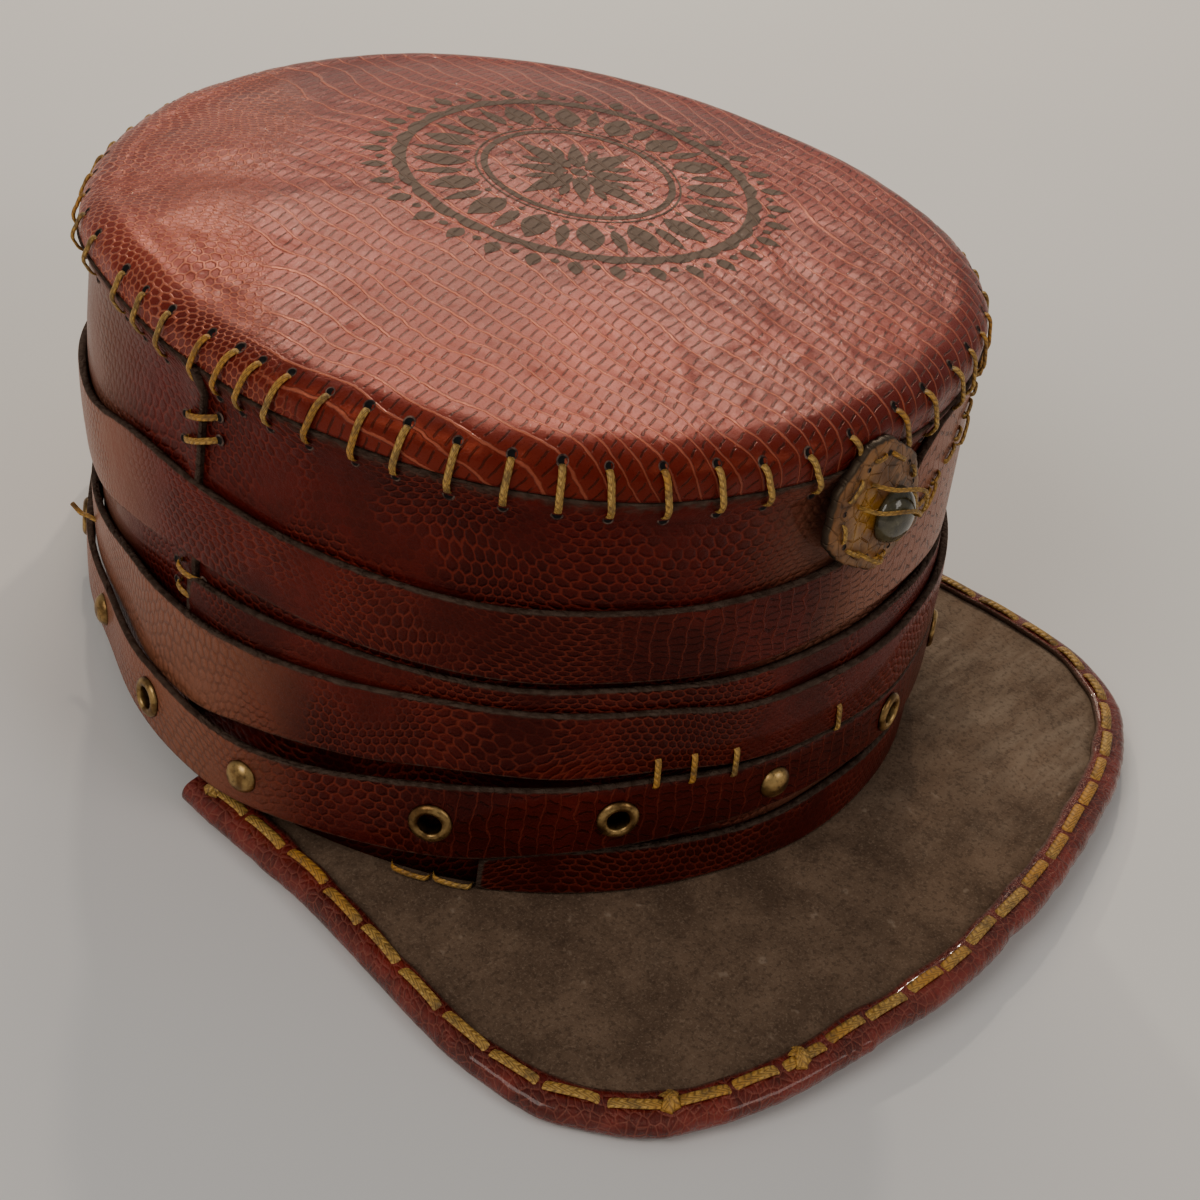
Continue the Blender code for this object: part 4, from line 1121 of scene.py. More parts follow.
def make_thread_tree():
    tree, given, result = tree_with("thread_along_paths", (("Geometry", "Geometry"), ("Half Width", "Float"),
                                                            ("Half Thickness", "Float"), ("Sides", "Int"),
                                                            ("Material", "Material")))
    lift = named(tree, "lift", "FLOAT_VECTOR")
    curve = add(tree, "GeometryNodeMeshToCurve", {"Mesh": given.outputs["Geometry"]})
    lie = add(tree, "GeometryNodeSetCurveNormal", {"Curve": curve.outputs[0], "Normal": lift}, mode="FREE")
    thin = add(tree, "GeometryNodeSetCurveRadius", {"Curve": lie.outputs[0], "Radius": named(tree, "taper")})
    length = add(tree, "GeometryNodeSplineParameter").outputs["Length"]
    kept = store(tree, thin, "run", length)
    circle = {"Resolution": given.outputs["Sides"], "Radius": 1.0}
    ring = add(tree, "GeometryNodeCurvePrimitiveCircle", circle)
    sizes = {0: given.outputs["Half Thickness"], 1: given.outputs["Half Width"], 2: 1.0}
    size = add(tree, "ShaderNodeCombineXYZ", sizes)
    oval_ring = add(tree, "GeometryNodeTransform", {"Geometry": ring.outputs[0], "Scale": size.outputs[0]})
    turn = add(tree, "GeometryNodeSplineParameter").outputs["Factor"]
    marked = store(tree, oval_ring, "turn", turn)
    mesh = add(tree, "GeometryNodeCurveToMesh", {"Curve": kept.outputs[0], "Profile Curve": marked.outputs[0],
                                                 "Fill Caps": True})
    mm = add(tree, "ShaderNodeMath", {0: named(tree, "run"), 1: 1000.0}, operation="MULTIPLY")
    spot = add(tree, "ShaderNodeCombineXYZ", {0: mm.outputs[0], 1: named(tree, "turn")})
    mapped = store(tree, mesh, "strand", spot.outputs[0], data_type="FLOAT2", domain="CORNER")
    smooth = add(tree, "GeometryNodeSetShadeSmooth", {"Geometry": mapped.outputs[0]})
    return end_tree(tree, smooth, given, result)


thread_tree = make_thread_tree()
print("nodes in the thread tree:", len(thread_tree.nodes))


def run_tree(name, mesh, tree, **values):
    """Run a tree on a mesh and return the result as a plain mesh object."""
    seedling = bpy.data.objects.new(name + "_paths", mesh)
    bpy.context.scene.collection.objects.link(seedling)
    modifier = seedling.modifiers.new("grow", "NODES")
    modifier.node_group = tree
    for item in tree.interface.items_tree:
        if item.in_out == "INPUT" and item.name.replace(" ", "_") in values:
            modifier[item.identifier] = values[item.name.replace(" ", "_")]
    seedling.update_tag()
    bpy.context.view_layer.update()
    grown = seedling.evaluated_get(bpy.context.evaluated_depsgraph_get())
    final = bpy.data.meshes.new_from_object(grown)
    final.name = name
    seedling.modifiers.remove(modifier)
    bpy.data.objects.remove(seedling)
    piece = bpy.data.objects.new(name, final)
    bpy.context.scene.collection.objects.link(piece)
    print(f"{name}: {len(final.polygons)} faces")
    return piece


# %% Paths on the leather
THREAD_SIDES = 8
# Half width and half thickness of each thread.
LACING_SIZE = (0.00070, 0.00044)
SEWING_SIZE = (0.00068, 0.00040)
BINDING_SIZE = (0.00122, 0.00050)
FINE_SIZE = (0.00048, 0.00036)


def smooth_path(points, count):
    """Even points on a smooth curve through the given ones."""
    points = np.asarray(points, float)
    padded = np.concatenate([2 * points[:1] - points[1:2], points, 2 * points[-1:] - points[-2:-1]])
    t = np.linspace(0, len(points) - 1.0001, count * 4)
    k = t.astype(int)
    s = (t - k)[:, None]
    p0, p1, p2, p3 = (padded[k + n] for n in range(4))
    bend, twist = 2 * p0 - 5 * p1 + 4 * p2 - p3, 3 * p1 - p0 - 3 * p2 + p3
    fine = 0.5 * (2 * p1 + (p2 - p0) * s + bend * s**2 + twist * s**3)
    run = run_along(fine)
    even = np.linspace(0, run[-1], count)
    return np.stack([np.interp(even, run, fine[:, axis]) for axis in range(3)], 1)


def point_vectors(mesh, label, values):
    """Store a direction on each point of a mesh."""
    data = mesh.attributes.new(label, "FLOAT_VECTOR", "POINT").data
    data.foreach_set("vector", values.astype(np.float32).ravel())


def thread_piece(name, paths, half_width, half_thickness):
    """Sewn threads along a list of paths, each with the directions that its flat side faces."""
    spots, lifts, tapers, edges = [], [], [], []
    for points, lift in paths:
        start = sum(map(len, spots))
        lift = np.broadcast_to(lift, points.shape)
        ends = np.minimum(np.arange(len(points)), np.arange(len(points))[::-1])
        spots.append(points)
        lifts.append(lift)
        waves = 1 + 0.06 * np.sin(np.arange(len(points)) * 1.7 + start)
        tapers.append(np.clip(0.8 + 0.1 * ends, 0, 1) * waves)
        edges += [(start + k, start + k + 1) for k in range(len(points) - 1)]
    mesh = bpy.data.meshes.new(name)
    mesh.from_pydata(np.concatenate(spots).tolist(), edges, [])
    point_vectors(mesh, "lift", np.concatenate(lifts))
    tapers = np.concatenate(tapers).astype(np.float32)
    mesh.attributes.new("taper", "FLOAT", "POINT").data.foreach_set("value", tapers)
    return run_tree(name, mesh, thread_tree, Half_Width=half_width, Half_Thickness=half_thickness,
                    Sides=THREAD_SIDES, Material=thread_material)


def shell(angle, reach, lift):
    """Point over the leather near the laced seam: on the top above it, on the wall beneath it."""
    angle, reach, lift = float(angle), float(reach), float(lift)
    if reach > 0.0008:
        here = shoulder_point(angle, reach)
        ahead = shoulder_point(angle, reach + 0.0006)
        side = shoulder_point(angle + 0.4, reach)
        away = np.cross(ahead - here, side - here)
        away /= np.linalg.norm(away)
        if away @ (here - np.array([0, CENTRE_Y, 0.05])) < 0:
            away = -away
        return here + away * lift, away
    height = seam_height(angle) + reach
    out = max(float(flare(angle, height)), 0.0)
    here = wall_point(angle, height, out)
    away = wall_point(angle, height, out + 0.001) - here
    away /= np.linalg.norm(away)
    return here + away * lift, away


# %% [markdown]
# ## Lacing
# The top is laced to the drum with one stitch about every eleven millimetres. A stitch rises from its
# punched hole in the shoulder, crosses the two raw edges and dives into its hole in the wall.

# %% The lacing stitches
dice = np.random.default_rng(8)
lacing_paths, hole_spots = [], []
for angle in LACING:
    lean = np.interp(angle, (10, 52, 88, 100), (-2.4, 0.0, 1.9, 0.0)) + dice.uniform(-0.4, 0.4)
    top_reach = float(upper_hole(angle)) / 1000 + dice.uniform(-0.0003, 0.0003)
    low_reach = LOWER_HOLE + dice.uniform(-0.0006, 0.0004)
    stations = ((0, top_reach + 0.0002, -0.0011), (0.03, top_reach - 0.0004, 0.0003),
                (0.3, top_reach * 0.68, 0.0006), (0.52, top_reach * 0.36, 0.0008), (0.68, 0.0009, 0.0012),
                (0.80, -0.0006, 0.0010), (0.90, -0.0020, 0.0008), (0.97, low_reach + 0.0006, 0.0006),
                (1.0, low_reach - 0.0001, -0.0011))
    spots, lifts = zip(*(shell(angle + lean * share, reach, lift) for share, reach, lift in stations))
    path = smooth_path(spots, 18)
    away = smooth_path(lifts, 18)
    lacing_paths.append((path, away / np.linalg.norm(away, axis=1)[:, None]))
    hole_spots.append(shell(angle, top_reach + 0.0006, 0.00005))
    hole_spots.append(shell(angle + lean, low_reach - 0.0005, 0.00005))
lacing = thread_piece("seam_lacing", lacing_paths, *LACING_SIZE)

# %% [markdown]
# ## Sewing on the wall and straps
# Short bars of the same thread close the panel seams and pin the straps to each other. Longer running
# stitches hold the drum to the peak.


# %% Bars and running stitches
SINK = 0.0009


def wall_stitch(start, end, out_at, proud=0.0007):
    """Stitch between two places on the wall, each an angle and a height."""
    points, lifts = [], []
    for share, up in ((0, -SINK), (0.08, proud * 0.7), (0.5, proud), (0.92, proud * 0.7), (1, -SINK)):
        angle = start[0] + (end[0] - start[0]) * share
        height = start[1] + (end[1] - start[1]) * share
        out = float(out_at(angle))
        here = wall_point(angle, height, out + up)
        away = wall_point(angle, height, out + 0.001) - wall_point(angle, height, out)
        points.append(here)
        lifts.append(away / np.linalg.norm(away))
    path, away = smooth_path(points, 12), smooth_path(lifts, 12)
    return path, away / np.linalg.norm(away, axis=1)[:, None]


def panel_out(angle):
    """Outer face of the panels near their seam, where the back one laps over."""
    return 0.0016 if angle > PANEL_SEAM - LAP else 0.0004


strap_face = SECOND_LAYER + STRAP
PANEL_BARS = (((93.9, 0.0835), (89.0, 0.0869)), ((93.9, 0.0781), (88.8, 0.0822)), ((94.4, 0.0494),
              (90.4, 0.0484)), ((94.4, 0.0446), (90.2, 0.0438)))
sewing = [wall_stitch(start, end, panel_out) for start, end in PANEL_BARS]
STAPLES = ((31.4, 0.0435, 0.0360), (27.0, 0.0438, 0.0361), (21.6, 0.0433, 0.0357), (5.9, 0.0441, 0.0372))
for angle, high, low in STAPLES:
    sewing.append(wall_stitch((angle, high), (angle - 0.3, low), lambda a: strap_face, 0.0005))
for height in (0.083, 0.078, 0.049, 0.044):
    sewing.append(wall_stitch((-94.0, height + 0.001), (-89.4, height), lambda a: 0.0014))
for k in range(8):
    angle, height = -8.5 - 3.7 * k, 0.0795 + 0.0022 * k
    tilt = 1.1 if k % 2 else -0.4
    start, end = (angle + 1.6, height + 0.0012), (angle - 1.6 + tilt, height + 0.0026)
    sewing.append(wall_stitch(start, end, lambda a: 0.0021))
    if k % 3 == 0:
        start, end = (angle, height - 0.0014), (angle - 2.8, height + 0.0042)
        sewing.append(wall_stitch(start, end, lambda a: 0.0024, 0.0010))
for start in (50.4, 55.6):
    base = float(rim_height(start)) + 0.0004
    sewing.append(wall_stitch((start, base), (start + 4.9, base + 0.0004), lambda a: 0.0016, 0.0010))
loose = wall_point(np.array([123.0, 124.2, 125.2, 126.4]), np.array([0.0246, 0.0248, 0.0240, 0.0252]),
                   np.array([0.0020, 0.0042, 0.0052, 0.0070]))
sewing.append((smooth_path(loose, 9), np.array([0.0, 0.0, 1.0])))
stitches = thread_piece("bar_stitches", sewing, *SEWING_SIZE)
for bar in PANEL_BARS:
    for share in (-0.04, 1.04):
        angle, height = np.array(bar[0]) + (np.array(bar[1]) - np.array(bar[0])) * share
        out = panel_out(angle)
        here = wall_point(angle, height, out + 0.00005)
        hole_spots.append((here, wall_point(angle, height, out + 0.001) - here))

# %% Stitches of the binding
STITCH_HUMP = np.array([-7, 2, 5.5, 7, 7, 7, 7, 7, 6, 5, 2, -7]) * 0.0001
line_angles = np.linspace(-PEAK_END + 0.6, PEAK_END - 0.6, 1500)
line_inset = np.minimum(0.0052, peak_edge(line_angles) * 0.55)
line = peak_place(line_angles, peak_edge(line_angles) - line_inset, BINDING_RADIUS)
run = run_along(line)
dice = np.random.default_rng(21)
binding_paths = []
place = 0.001
while place < run[-1] - 0.006:
    size = dice.uniform(0.0098, 0.0128)
    t = np.linspace(place, min(place + size, run[-1]), 12)
    path = np.stack([np.interp(t, run, line[:, axis]) for axis in range(3)], 1)
    path[:, 2] += STITCH_HUMP
    path[:, :2] += dice.uniform(-0.00035, 0.00035, 2)
    binding_paths.append((path, np.array([0.0, 0.0, 1.0])))
    place += size + 0.0002
for angle in (23.9, 34.5, 84.0):
    middle = np.array([np.interp(angle, line_angles, line[:, axis]) for axis in range(3)])
    ahead = np.array([np.interp(angle + 0.5, line_angles, line[:, axis]) for axis in range(3)]) - middle
    ahead /= np.linalg.norm(ahead)
    aside = np.cross(ahead, (0.0, 0.0, 1.0))
    for turn, reach in ((0.35, 0.0016), (-0.5, 0.0019)):
        way = aside * np.cos(turn) + ahead * np.sin(turn)
        knot = [middle + way * reach * k + np.array([0, 0, up]) for k, up in
                ((-1.3, 0.0003), (-0.8, 0.0011), (0, 0.0016), (0.8, 0.0011), (1.3, 0.0004))]
        binding_paths.append((smooth_path(knot, 9), np.array([0.0, 0.0, 1.0])))
binding_thread = thread_piece("binding_stitches", binding_paths, *BINDING_SIZE)
print("binding stitches:", len(binding_paths), "over", round(float(run[-1]), 3), "m")

# %% [markdown]
# ## Punched holes and brass
# Holes, eyelets and rivets repeat, so each is modelled once and a tree sets copies on points. A point
# carries the direction straight out of the leather, and the tree turns the copy to it. The copies are
# made real at the end. A punched hole is not cut through: it is a near-black disc of painted shade
# inside a worn rim, laid on the leather.


# %% The setting tree
def make_setting_tree():
    sockets = (("Geometry", "Geometry"), ("Shape", "Object"), ("Seed", "Int"), ("Size Change", "Float"),
               ("Material", "Material"))
    tree, given, result = tree_with("set_on_points", sockets)
    shape = add(tree, "GeometryNodeObjectInfo", {"Object": given.outputs["Shape"], "As Instance": True})
    turn = add(tree, "FunctionNodeAxesToRotation", {0: named(tree, "away", "FLOAT_VECTOR"),
                                                    1: named(tree, "along", "FLOAT_VECTOR")})
    low = add(tree, "ShaderNodeMath", {0: 1.0, 1: given.outputs["Size Change"]}, operation="SUBTRACT")
    size = add(tree, "FunctionNodeRandomValue", {2: low.outputs[0], 3: 1.0, "Seed": given.outputs["Seed"]})
    inputs = {"Points": given.outputs["Geometry"], "Instance": shape.outputs["Geometry"],
              "Rotation": turn.outputs[0], "Scale": size.outputs[1]}
    copies = add(tree, "GeometryNodeInstanceOnPoints", inputs)
    return end_tree(tree, copies, given, result)


setting_tree = make_setting_tree()
print("nodes in the setting tree:", len(setting_tree.nodes))


def turned(name, profile, sides, marks=None):
    """Shape turned round Z from radius and height pairs, with a mark on each ring."""
    profile = np.asarray(profile)
    turns = np.arange(sides) / sides * 2 * np.pi
    across, level = profile[None, :, 0], np.broadcast_to(profile[None, :, 1], (sides, len(profile)))
    grid = np.stack([np.cos(turns)[:, None] * across, np.sin(turns)[:, None] * across, level], -1)
    hide = hide_grid(np.append(turns, 2 * np.pi) * 0.001, np.arange(len(profile)) * 0.001)
    raw = 0.0 if marks is None else np.broadcast_to(np.asarray(marks, float), grid.shape[:2])
    return skin(name, grid, hide, None, ring=True, raw=raw)


def set_on(name, shape, spots, material, seed=1, change=0.0):
    """Copies of a shape on places with their directions out of the leather."""
    places = np.array([place for place, away in spots])
    away = np.array([away / np.linalg.norm(away) for place, away in spots])
    mesh = bpy.data.meshes.new(name)
    mesh.from_pydata(places.tolist(), [], [])
    along = np.cross(np.array([0.02, 0.03, 1.0]), away)
    for label, values in (("away", away), ("along", along)):
        point_vectors(mesh, label, values)
    piece = run_tree(name, mesh, setting_tree, Shape=shape, Seed=seed, Size_Change=change, Material=material)
    bpy.data.objects.remove(shape)
    return piece


# %% Punched holes, drawn as discs of painted shade
def punched():
    r = Recipe("punched_hole")
    worn = r.noise(r.spot(), 900.0, 2.0)
    rim = r.mix(r.step(worn, 0.35, 0.7), (0.030, 0.012, 0.009), (0.165, 0.105, 0.080))
    # Painted shade: the middle of each hole is near black, for the depth of the hole; the rim has worn
    # leather colours.
    colour = r.mix(r.step(r.fact("raw"), 0.2, 0.8), (0.0015, 0.001, 0.001), rim)
    return r.finish(Base_Color=colour, Roughness=0.7, Specular_IOR_Level=0.2)


hole_shape = turned("hole_shape", ((0.0, 0.00001), (0.00088, 0.00001), (0.00097, 0.00010), (0.00112, 0.00013),
                                   (0.00135, -0.0001)), 14, (0, 0, 1, 1, 1))
holes = set_on("punched_holes", hole_shape, hole_spots, punched(), 3, 0.25)

# %% [markdown]
# ## Brass eyelets and rivets
# Old brass is dark in its corners and bright where fingers rub it. The colour follows a noise, and a
# second noise dulls the surface in patches.


# %% Aged brass
def aged_brass():
    r = Recipe("aged_brass_patina")
    place = r.spot()
    tone = r.noise(place, 260.0, 4.0)
    speck = r.noise(place, 1100.0, 3.0)
    body = r.mix(r.step(tone, 0.35, 0.66), (0.16, 0.085, 0.030), (0.52, 0.34, 0.13))
    body = r.mix(r.times(r.step(speck, 0.5, 0.72), 0.6), body, (0.070, 0.042, 0.020))
    body = r.mix(r.fact("raw"), body, (0.020, 0.012, 0.007))
    rough = r.plus(0.24, r.times(tone, 0.28))
    normal = r.bump(tone, 0.0003, 0.5)
    normal = r.bump(speck, 0.00008, 0.5, normal)
    return r.finish(Base_Color=body, Roughness=rough, Normal=normal, Metallic=1.0)


FITTINGS = ((-6, "eyelet"), (15, "rivet"), (35, "eyelet"), (56, "eyelet"), (79, "rivet"), (96, "eyelet"),
            (114, "rivet"), (135, "eyelet"), (157, "eyelet"), (180, "rivet"), (203, "eyelet"),
            (225, "eyelet"), (246, "rivet"), (267, "eyelet"), (290, "eyelet"), (312, "rivet"),
            (333, "eyelet"))
middle_line = [table_curve(EYELET_STRAP, 1), table_curve(EYELET_STRAP, 2)]
brass = aged_brass()
spots = {"eyelet": [], "rivet": []}
for angle, kind in FITTINGS:
    height = SEAM_HEIGHT * float(middle_line[0](angle) + middle_line[1](angle)) / 2
    place, _, _, away = wall_frame(float(angle), height, lambda a: eyelet_out(a) + STRAP * 1.05)
    spots[kind].append((place, away))
EYELET_PROFILE = ((0.0024, -0.0027), (0.0024, 0.0005), (0.00255, 0.00085), (0.0029, 0.00108),
                  (0.0034, 0.00112), (0.0039, 0.00094), (0.0043, 0.0006), (0.0045, 0.0002),
                  (0.00445, -0.0001), (0.0031, -0.0001), (0.0030, -0.0027))
EYELET_MARKS = (1, 0.35, 0.1, 0, 0, 0, 0.1, 0.5, 0.9, 1, 1)
eyelet_shape = turned("eyelet_shape", EYELET_PROFILE, 40, EYELET_MARKS)
eyelets = set_on("eyelets_brass", eyelet_shape, spots["eyelet"], brass, 4, 0.02)
RIVET_PROFILE = ((0.0, 0.0021), (0.0009, 0.00206), (0.0018, 0.00186), (0.0026, 0.0015),
                 (0.0032, 0.00098), (0.00358, 0.0004), (0.0037, 0.0), (0.0036, -0.0003))
RIVET_MARKS = (0, 0, 0, 0, 0.05, 0.3, 0.8, 1)
rivet_shape = turned("rivet_shape", RIVET_PROFILE, 36, RIVET_MARKS)
rivets = set_on("rivets_brass", rivet_shape, spots["rivet"], brass, 5, 0.03)

# %% Holes through the eyelet strap
EYELET_HOLE = 0.0031
cutter = bpy.data.meshes.new("hole_cutter")
builder = bmesh.new()
for place, away in spots["eyelet"]:
    turn = Vector(away).to_track_quat("Z", "Y").to_matrix().to_4x4()
    turn.translation = Vector(place)
    bmesh.ops.create_cone(builder, cap_ends=True, segments=28, radius1=EYELET_HOLE, radius2=EYELET_HOLE,
                          depth=0.007, matrix=turn)
builder.to_mesh(cutter)
builder.free()
punch = bpy.data.objects.new("hole_cutter", cutter)
bpy.context.scene.collection.objects.link(punch)
cut = strap_eyelet.modifiers.new("eyelet_holes", "BOOLEAN")
cut.operation, cut.solver, cut.object = "DIFFERENCE", "EXACT", punch
bpy.context.view_layer.update()
holed = bpy.data.meshes.new_from_object(strap_eyelet.evaluated_get(bpy.context.evaluated_depsgraph_get()))
strap_eyelet.modifiers.clear()
strap_eyelet.data = holed
bpy.data.objects.remove(punch)
print("eyelet strap faces:", len(holed.polygons))

# %% [markdown]
# ## The medallion
# A small patch of tan leather sits on the front, with dark cut edges, a row of holes near its rim and an
# amber hollow beside a domed grey-green stone. It is built as rings that shrink towards the middle.

# %% Medallion patch
MED_ANGLE, MED_HEIGHT, MED_WIDE, MED_TALL = 4.6, 0.0902, 0.0170, 0.0150
MED_LAYER, MED_THICK = GAP + TOP + 2 * GAP, 0.0022
MED_FACE = MED_LAYER + MED_THICK
MED_CORNERS = 80
STONE_RADIUS, STONE_RISE = 0.0060, 0.0038
STONE_AT = (-0.20, -0.20)
OUTLINE = np.array([(0.05, 1.00), (-0.58, 0.55), (-0.74, 0.16), (-1.00, -0.66), (-0.42, -0.84), (0.00, -1.00),
                    (0.71, -0.60), (1.00, -0.27), (0.93, 0.47), (0.45, 0.98)])


def med_place(across, up, out):
    """Points over the wall, measured from the medallion's middle in shares of its half size."""
    across, up = np.asarray(across, float), np.asarray(up, float)
    angle = MED_ANGLE + across * MED_WIDE / (RIM[1] * np.pi / 180)
    return wall_point(angle, MED_HEIGHT + up * MED_TALL, out)


def tan_patch():
    r = Recipe("tan_medallion_leather")
    place = r.spot()
    hide = r.hide()
    tone = r.noise(place, 160.0, 4.0)
    crack = r.cells(hide, 0.33, "DISTANCE_TO_EDGE", 1.0)
    body = r.mix(r.step(tone, 0.3, 0.7), (0.110, 0.040, 0.014), (0.270, 0.120, 0.044))
    body = r.mix(r.step(r.noise(place, 420.0, 3.0), 0.50, 0.66), body, (0.045, 0.017, 0.008))
    split = r.minus(1.0, r.step(crack, 0.0, 0.05))
    body = r.mix(r.times(split, 0.5), body, (0.05, 0.018, 0.008))
    amber = r.mix(r.step(tone, 0.35, 0.65), (0.150, 0.050, 0.004), (0.420, 0.190, 0.014))
    body = r.mix(r.fact("fade"), body, amber)
    body = r.mix(r.step(r.fact("raw"), 0.3, 0.8), body, (0.026, 0.018, 0.013))
    normal = r.bump(tone, 0.0006, 0.7)
    normal = r.bump(r.step(crack, 0.0, 0.08), 0.0003, 0.6, normal)
    rough = r.minus(0.46, r.times(r.fact("fade"), 0.28))
    return r.finish(Base_Color=body, Roughness=rough, Normal=normal, Specular_Tint=(1.0, 0.75, 0.5))


dense = np.concatenate([np.linspace(OUTLINE[k], OUTLINE[(k + 1) % 10], 9)[:-1] for k in range(10)])
dense = (dense + np.roll(dense, 1, 0) + np.roll(dense, -1, 0)) / 3
dense *= 1 + 0.012 * np.sin(np.arange(MED_CORNERS) * 2.3)[:, None]
layers = [(share, MED_FACE + 0.0003 * (1 - share**2), 0.0) for share in np.linspace(0.0, 0.94, 14)]
layers += [(0.98, MED_FACE - 0.0001, 0.45), (1.0, MED_FACE - 0.0005, 1.0),
           (1.0, MED_LAYER + MED_THICK * 0.4, 1.0), (0.99, MED_LAYER + 0.0001, 1.0), (0.5, MED_LAYER, 1.0),
           (0.0, MED_LAYER, 1.0)]
rings, fades = [], []
for share, out, _ in layers:
    spot = dense * share
    amber = np.exp(-(((spot[:, 0] - 0.32) / 0.26) ** 2) - ((spot[:, 1] + 0.02) / 0.46) ** 2)
    face = 1.0 if out > MED_FACE else 0.0
    rings.append(med_place(spot[:, 0], spot[:, 1], out - 0.0008 * amber * face))
    fades.append(np.clip(amber * 1.6, 0, 1) * face)
grid = np.stack(rings, 1)
layers = np.array(layers)
hide = dense[:, None] * layers[None, :, :1] * 15.0
medallion = skin("medallion_leather", grid, np.concatenate([hide, hide[:1]]), tan_patch(), ring=True,
                 raw=layers[:, 2], fade=np.stack(fades, 1))


# %% Stone
def stone_glass():
    r = Recipe("grey_green_stone")
    place = r.spot()
    cloud = r.noise(place, 260.0, 4.0, 0.6)
    inner_highlight = r.noise(place, 700.0, 3.0)
    body = r.mix(r.step(cloud, 0.3, 0.7), (0.016, 0.014, 0.006), (0.098, 0.086, 0.048))
    # Painted highlight: pale streaks in the stone's colour stand for light inside the glass.
    body = r.mix(r.times(r.step(inner_highlight, 0.55, 0.75), 0.4), body, (0.20, 0.18, 0.115))
    return r.finish(Base_Color=body, Roughness=0.12, Normal=r.bump(cloud, 0.0003, 0.3),
                    Coat_Weight=0.15, Coat_Roughness=0.05)


stone_angle = MED_ANGLE + STONE_AT[0] * MED_WIDE / (RIM[1] * np.pi / 180)
stone_height = MED_HEIGHT + STONE_AT[1] * MED_TALL
place, _, _, away = wall_frame(stone_angle, stone_height, lambda a: MED_FACE + GAP)
turns = np.radians(np.linspace(0, 90, 13))
profile = [(STONE_RADIUS * np.sin(turn), STONE_RISE * np.cos(turn)) for turn in turns]
profile += [(STONE_RADIUS - 0.0001, -0.0003), (0.0, -0.0003)]
stone = set_on("medallion_stone_glass", turned("stone_shape", profile, 40), [(place, away)], stone_glass(), 1)


# %% Threads on the medallion
def med_stitch(start, end, proud, count=10, sink=0.0007, bow=0.0):
    """Thread between two places on the medallion, bowed to one side by a share of its length."""
    start, end = np.array(start), np.array(end)
    side = np.array([-(end - start)[1], (end - start)[0]])
    points = []
    for share, up_by in ((0, -sink), (0.1, proud * 0.6), (0.5, proud), (0.9, proud * 0.6), (1, -sink)):
        spot = start + (end - start) * share + side * bow * np.sin(np.pi * share)
        points.append(med_place(spot[0], spot[1], MED_FACE + 0.0003 + up_by))
    return smooth_path(points, count), away


rim_ring = dense * 0.80
med_paths = []
for k in range(0, MED_CORNERS, 9):
    med_paths.append(med_stitch(rim_ring[k], rim_ring[(k + 5) % MED_CORNERS], 0.0004))
over = [((0.34, 0.42), (-0.62, -0.42), 0.0050, -0.26), ((0.52, 0.16), (-0.64, -0.36), 0.0053, -0.14),
        ((0.42, -0.52), (-0.02, -0.74), 0.0026, 0.05)]
med_paths += [med_stitch(a, b, proud, 16, 0.0006, bow) for a, b, proud, bow in over]
med_threads = thread_piece("medallion_threads", med_paths, *FINE_SIZE)
med_holes = []
for k in range(0, MED_CORNERS, 9):
    spot = rim_ring[(k + 7) % MED_CORNERS]
    med_holes.append((med_place(spot[0], spot[1], MED_FACE + 0.0001), away))
# The medallion's small holes use the same near-black discs of painted shade.
small_profile = ((0.0, 0.00001), (0.0005, 0.00001), (0.0006, 0.0001), (0.0009, -0.0001))
small_hole = turned("small_hole_shape", small_profile, 12, (0, 0, 0.5, 1))
medallion_holes = set_on("medallion_holes", small_hole, med_holes, bpy.data.materials["punched_hole"], 6, 0.3)

# %% [markdown]
# ## Floor, light and camera
# The hat stands on a pale floor in soft studio light. A broad window-like light behind the hat gives the
# top its sheen, and two small lamps beside it make the glints. Two broad fills light the drum and the
# peak, and the pale surroundings soften the shadows. The camera stands where the photographer stood,
# worked out from the ovals of the rim and the seam.


# %% Floor
def pale_floor():
    r = Recipe("pale_floor")
    tone = r.noise(r.spot(), 6.0, 2.0)
    return r.finish(Base_Color=r.mix(tone, (0.80, 0.80, 0.79), (0.84, 0.84, 0.83)), Roughness=0.8)


floor_mesh = bpy.data.meshes.new("floor")
floor_mesh.from_pydata([(-4, -4, 0), (4, -4, 0), (4, 4, 0), (-4, 4, 0)], [], [(0, 1, 2, 3)])
floor_mesh.materials.append(pale_floor())
floor = bpy.data.objects.new("floor", floor_mesh)
bpy.context.scene.collection.objects.link(floor)


# %% Lights
def softbox(name, place, target, size, power, colour=(1, 1, 1)):
    """Square area light that faces a target."""
    lamp = bpy.data.lights.new(name, "AREA")
    lamp.size, lamp.energy, lamp.color = size, power, colour
    item = bpy.data.objects.new(name, lamp)
    item.location = place
    item.rotation_euler = (Vector(target) - Vector(place)).to_track_quat("-Z", "Y").to_euler()
    bpy.context.scene.collection.objects.link(item)
    return item


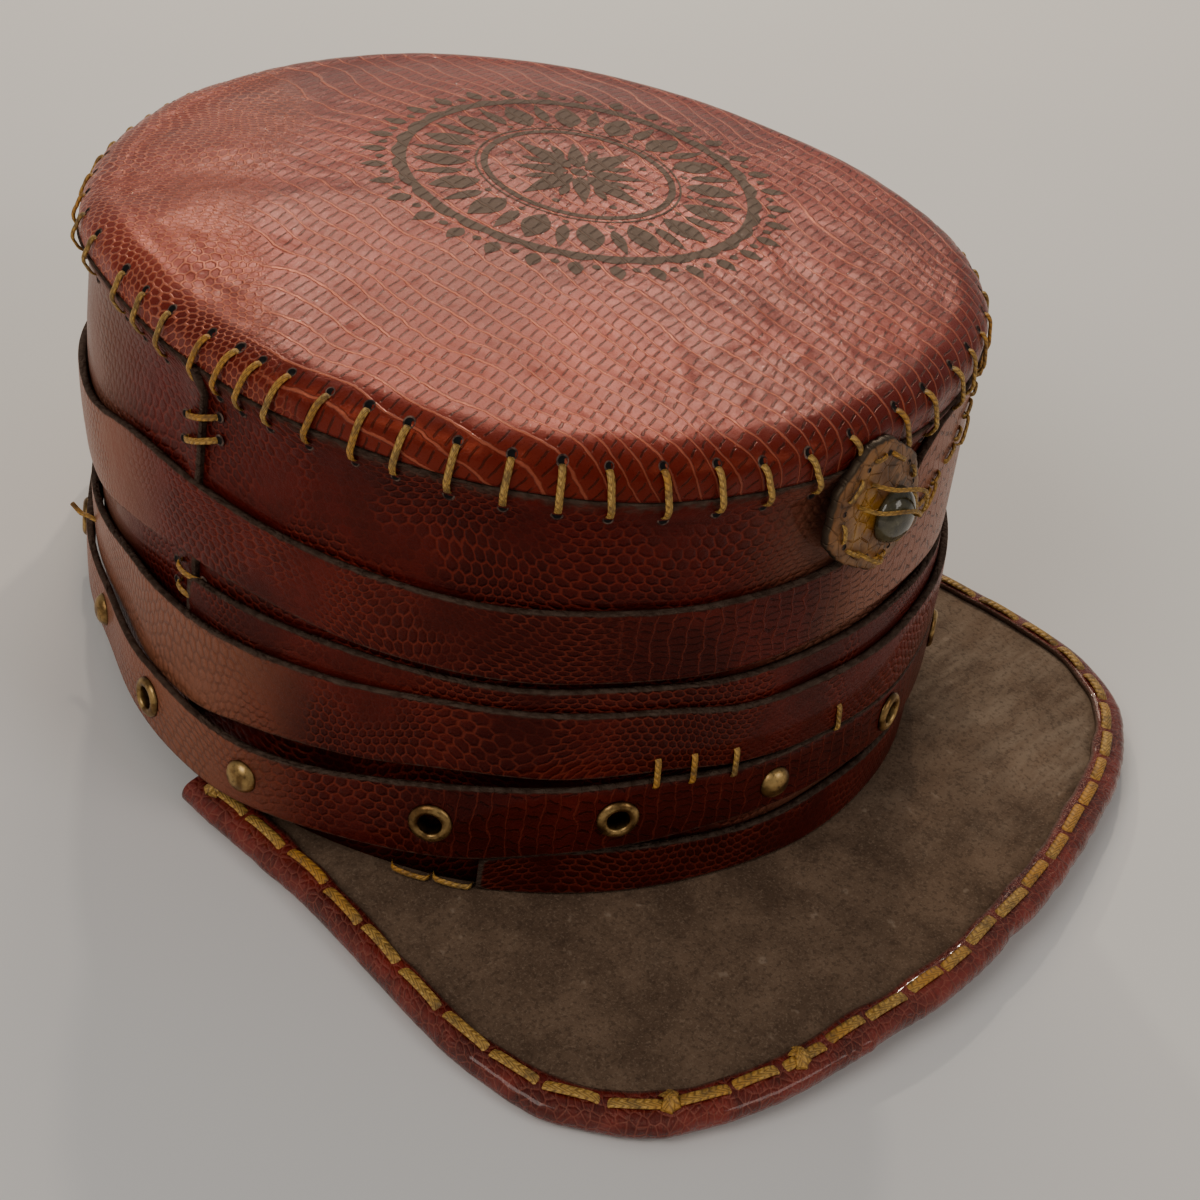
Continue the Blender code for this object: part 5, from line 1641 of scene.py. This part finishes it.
softbox("window", (0.75, 0.72, 0.80), (0, 0, 0.10), 0.40, 3.1, (1.0, 0.84, 0.66))
softbox("right_lamp", (0.86, 0.50, 0.77), (0, 0, 0.10), 0.045, 2.6, (1.0, 0.86, 0.68))
softbox("left_lamp", (0.58, 0.90, 0.72), (0, 0, 0.10), 0.045, 2.2, (1.0, 0.86, 0.68))
softbox("left_fill", (-1.0, 0.1, 0.9), (0, 0, 0.05), 0.60, 5.0, (1.0, 0.93, 0.86))
softbox("front_fill", (0.3, -1.3, 1.0), (0, 0, 0.05), 0.6, 4.0, (1.0, 0.94, 0.88))
print("lights:", [item.name for item in bpy.data.lights])
world = bpy.data.worlds.new("surroundings")
bpy.context.scene.world = world
world.use_nodes = True
world.node_tree.nodes["Background"].inputs[0].default_value = (1.0, 0.96, 0.92, 1)
world.node_tree.nodes["Background"].inputs[1].default_value = 0.26

# %% Camera
right = Vector((0.63115834, -0.75532433, 0.17642082))
up = Vector((0.37135132, 0.49393985, 0.78620711))
pose = Matrix((right, up, right.cross(up))).transposed().to_4x4()
pose.translation = Vector((-0.331778, -0.240673 + CENTRE_Y, 0.311396))
lens = bpy.data.cameras.new("photographer")
lens.lens, lens.sensor_width, lens.clip_start = 63.983, 36.0, 0.02
lens.dof.use_dof = False
camera = bpy.data.objects.new("photographer", lens)
camera.matrix_world = pose
bpy.context.scene.collection.objects.link(camera)
bpy.context.scene.camera = camera
print("lens:", lens.lens, "mm")

# %% [markdown]
# ## Join the pieces to the frame
# Each piece rides on the hat's one body, and the CAD solids that it stands for are hidden. Its table row
# also lists a finish, which nothing reads.

# %% Ride on the body and hide the CAD solids it replaces
STANDS_FOR = {
    crown_top: (("crown_top",), "red_leather"),
    wall_front: (("crown_wall_front",), "maroon_leather"),
    wall_back: (("crown_wall_back",), "maroon_leather"),
    strap_upper: (("strap_upper",), "strap_leather"),
    strap_inner: (("strap_inner",), "strap_leather"),
    strap_middle: (("strap_middle",), "strap_leather"),
    strap_eyelet: (("strap_eyelet",), "strap_leather"),
    strap_lower: (("strap_lower",), "strap_leather"),
    suede: (("peak",), "dark_suede"),
    binding: (("peak_binding",), "red_leather"),
    medallion: (("medallion_patch",), "tan_leather"),
    stone: (("medallion_stone",), "grey_green_glass"),
    eyelets: (tuple(f"eyelet_{k:02d}" for k in range(1, 12)), "aged_brass"),
    rivets: (tuple(f"rivet_{k:02d}" for k in range(1, 7)), "aged_brass"),
}
for piece, (nodes, finish_slot) in STANDS_FOR.items():
    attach(piece, "root")
    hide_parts(*nodes)
for piece in (printed, lacing, stitches, binding_thread, holes, med_threads, medallion_holes):
    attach(piece, "root")
